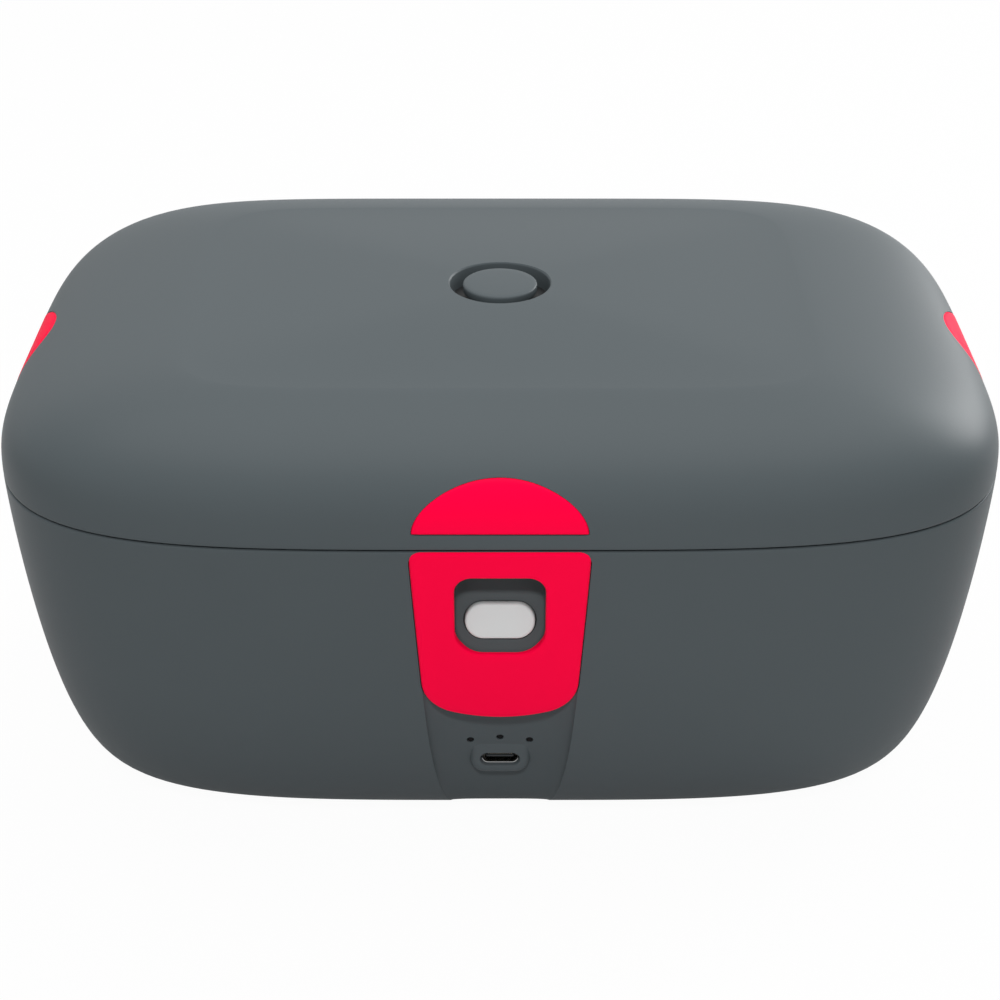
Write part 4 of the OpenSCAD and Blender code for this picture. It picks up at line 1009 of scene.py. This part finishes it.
piece(liner, "lid", dark_plastic, "inner_plastic", "lid_liner")

# %% [markdown]
# ## Screws
# Small pan-head screws hold the hinge leaves, the base cover and the liner. Each head is a lathe with a
# domed face and a crossed slot cut into it. One helper makes a screw that points any way, and every set
# is a single piece.

# %% Screws
def screw(spot, turn, head_r, head_h, shank_r, length):
    """A screw whose head's face is at spot and whose shank runs along turn's -Z."""
    profile = [(shank_r * 0.5, -length), (shank_r, -length + shank_r), (shank_r, -head_h),
               (head_r, -head_h), (head_r, -0.45 * head_h), (head_r * 0.88, -0.16 * head_h),
               (head_r * 0.55, 0.0)]
    head = make_mesh("screw", loft(disc_rings(profile, 48), (0, 0, -length), (0, 0, 0)))
    w, l = head_r * 0.17, head_r * 0.62
    made = carve(head, tools([block(-a, a, -b, b, -head_h * 0.7, 1) for a, b in ((l, w), (w, l))]))
    back = Matrix.Translation((0, -PLAN_Y * MM, 0))
    place = Matrix.Translation([c * MM for c in (spot[0], spot[1] + PLAN_Y, spot[2])]) @ turn.to_4x4()
    made.data.transform(place @ back)
    return made


DOWN = Matrix.Rotation(math.pi, 3, "X")
BACK = Matrix.Rotation(-math.pi / 2, 3, "X")
under = [(x, y, FOOT_H) for x, y in ((-85, -18), (-85, 18), (85, -18), (85, 18), (0, -41), (0, 41))]
on_base_leaf = [(x, LEAF_Y + 1, 83.2) for x in (-21.8, 21.8)]
on_lid_leaf = [(x, LEAF_Y + 1, 97.0) for x in (-8, 8)]
inside_lid = [(x, y, 93.15) for x, y in SEATS]
for name, body, spots, turn, sizes in (
        ("base_screws", "housing", under, DOWN, (2.4, 1.0, 1.2, 4.6)),
        ("hinge_screws", "housing", on_base_leaf, BACK, (1.8, 0.6, 0.9, 3.8)),
        ("lid_hinge_screws", "lid", on_lid_leaf, BACK, (1.8, 0.6, 0.9, 2.0)),
        ("liner_screws", "lid", inside_lid, DOWN, (2.4, 1.2, 1.2, 8.2))):
    one = merged(*[screw(spot, turn, *sizes) for spot in spots])
    one.name = name
    piece(one, body, zinc, "hardware_steel", name)

# %% [markdown]
# ## The pieces that come straight from the construction
# Hinge leaves, feet, cover, cells, boards and heater are already the right shape. They keep their own
# mesh and get a finish, and a bevel where the real edge is broken. The bevel is a modifier, so the
# construction's mesh stays as it is.

# %% Finishes for the carried-over pieces
def dress(node, material, bevel=0.0):
    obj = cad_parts[node]
    obj.data.materials.clear()
    obj.data.materials.append(material)
    if bevel:
        soft = obj.modifiers.new("bevel", "BEVEL")
        soft.width, soft.segments = bevel * MM, 2
        soft.limit_method, soft.angle_limit = "ANGLE", math.radians(35)


for node, material, bevel in (
        ("base_cover", dark_plastic, 0.3), ("feet", rubber, 0.3), ("hinge_base", plastic, 0.25),
        ("hinge_lid", plastic, 0.25), ("hinge_pin", zinc, 0.2), ("clip_pins", zinc, 0.1),
        ("cell_holder", dark_plastic, 0.3), ("battery_cells", sleeve, 0.6), ("cell_links", zinc, 0.0),
        ("insulation_pad", foam, 0.4), ("heater_mat", foil, 0.0), ("thermal_cutoff", ceramic, 0.4),
        ("control_board", laminate, 0.1), ("light_board", laminate, 0.1), ("switch_board", laminate, 0.1),
        ("button_switch", black_plastic, 0.2), ("lid_foam", foam, 1.0), ("vent_spring", zinc, 0.0)):
    dress(node, material, bevel)
print("dressed the pieces from the construction")

# %% [markdown]
# ## Floor
# The photo has a white ground with hardly any shadow. So the floor glows white, but for the camera alone:
# the glow adds no light to the box, and the share left to the plain surface keeps a trace of shadow.

# %% Floor
CAMERA_SHARE = 0.965
floor_mesh = bpy.data.meshes.new("floor")
floor_mesh.from_pydata([(-6, -6, 0), (6, -6, 0), (6, 6, 0), (-6, 6, 0)], [], [(0, 1, 2, 3)])
floor = bpy.data.objects.new("floor", floor_mesh)
scene.collection.objects.link(floor)
white = bpy.data.materials.new("white ground")
white.use_nodes = True
nodes, links = white.node_tree.nodes, white.node_tree.links
ground = nodes["Principled BSDF"]
ground.inputs["Base Color"].default_value = (0.7, 0.7, 0.7, 1)
ground.inputs["Roughness"].default_value = 0.9
glow, blend = nodes.new("ShaderNodeEmission"), nodes.new("ShaderNodeMixShader")
path, share = nodes.new("ShaderNodeLightPath"), nodes.new("ShaderNodeMath")
share.operation = "MULTIPLY"
share.inputs[1].default_value = CAMERA_SHARE
links.new(path.outputs["Is Camera Ray"], share.inputs[0])
links.new(share.outputs["Value"], blend.inputs["Fac"])
links.new(ground.outputs["BSDF"], blend.inputs[1])
links.new(glow.outputs["Emission"], blend.inputs[2])
links.new(blend.outputs["Shader"], nodes["Material Output"].inputs["Surface"])
floor_mesh.materials.append(white)
print("the camera sees the floor's shadow at", round(100 * (1 - CAMERA_SHARE), 1), "percent")

# %% [markdown]
# ## World
# The world is white to the camera and in reflections, but the light that it gives the box stays at a
# plain level, so that the box's own greys render about as they are written.

# %% World
WORLD_LIGHT = 0.2
world = bpy.data.worlds.new("studio")
scene.world = world
world.use_nodes = True
nodes, links = world.node_tree.nodes, world.node_tree.links
path = nodes.new("ShaderNodeLightPath")
seen = path.outputs["Is Camera Ray"]
for kind in ("Is Glossy Ray", "Is Transmission Ray"):
    either = nodes.new("ShaderNodeMath")
    either.operation = "MAXIMUM"
    links.new(seen, either.inputs[0])
    links.new(path.outputs[kind], either.inputs[1])
    seen = either.outputs["Value"]
level_of = nodes.new("ShaderNodeMapRange")
level_of.inputs["To Min"].default_value = WORLD_LIGHT
level_of.inputs["To Max"].default_value = 1.0
links.new(seen, level_of.inputs["Value"])
links.new(level_of.outputs["Result"], nodes["Background"].inputs["Strength"])
nodes["Background"].inputs["Color"].default_value = (1, 1, 1, 1)
print("the world lights the box at", WORLD_LIGHT, "of white")

# %% [markdown]
# ## Lamps
# A broad overhead lamp gives the lid its even tone. A small one high in front throws the short shadows in
# the button's pocket and under the plate, and a third, at the back on the right, makes the soft sheen on
# that side of the lid. The small one is kept out of reflections, so that it leaves no hard spot.

# %% Lamps
def softbox(name, place, aim, size, power, gloss=False):
    """A rectangular area lamp that looks from one point to another, in metres and watts."""
    lamp = bpy.data.lights.new(name, "AREA")
    lamp.shape, lamp.size, lamp.size_y, lamp.energy = "RECTANGLE", size[0], size[1], power
    obj = bpy.data.objects.new(name, lamp)
    scene.collection.objects.link(obj)
    obj.location = place
    obj.rotation_euler = (Vector(aim) - Vector(place)).to_track_quat("-Z", "Y").to_euler()
    obj.visible_glossy = gloss
    return obj


softbox("overhead", (0.0, 0.2, 1.1), (0, 0, 0.08), (1.2, 0.9), 8.2, gloss=True)
softbox("key", (0.0, -1.11, 1.17), (0, 0, 0.05), (0.2, 0.12), 13.5)
softbox("right back", (1.5, 1.4, 0.8), (0, 0, 0.08), (1.0, 1.0), 30.0, gloss=True)
print("three softboxes")

# %% [markdown]
# ## Camera
# The photo looks down on the front at about 29 degrees. Its place and focal length were found by
# matching the box's known edges, so the render lies over the photo.

# %% Camera
LOOK_DOWN = 0.514
lens = bpy.data.cameras.new("camera")
lens.sensor_width, lens.lens = 36, 76.84
camera = bpy.data.objects.new("camera", lens)
camera.location = (0, -0.494396, 0.333881)
camera.rotation_euler = (math.pi / 2 - LOOK_DOWN, 0, 0)
scene.collection.objects.link(camera)
scene.camera = camera
scene.view_settings.view_transform = "Standard"
print("a", lens.lens, "mm lens looks down by", round(math.degrees(LOOK_DOWN), 1), "degrees")
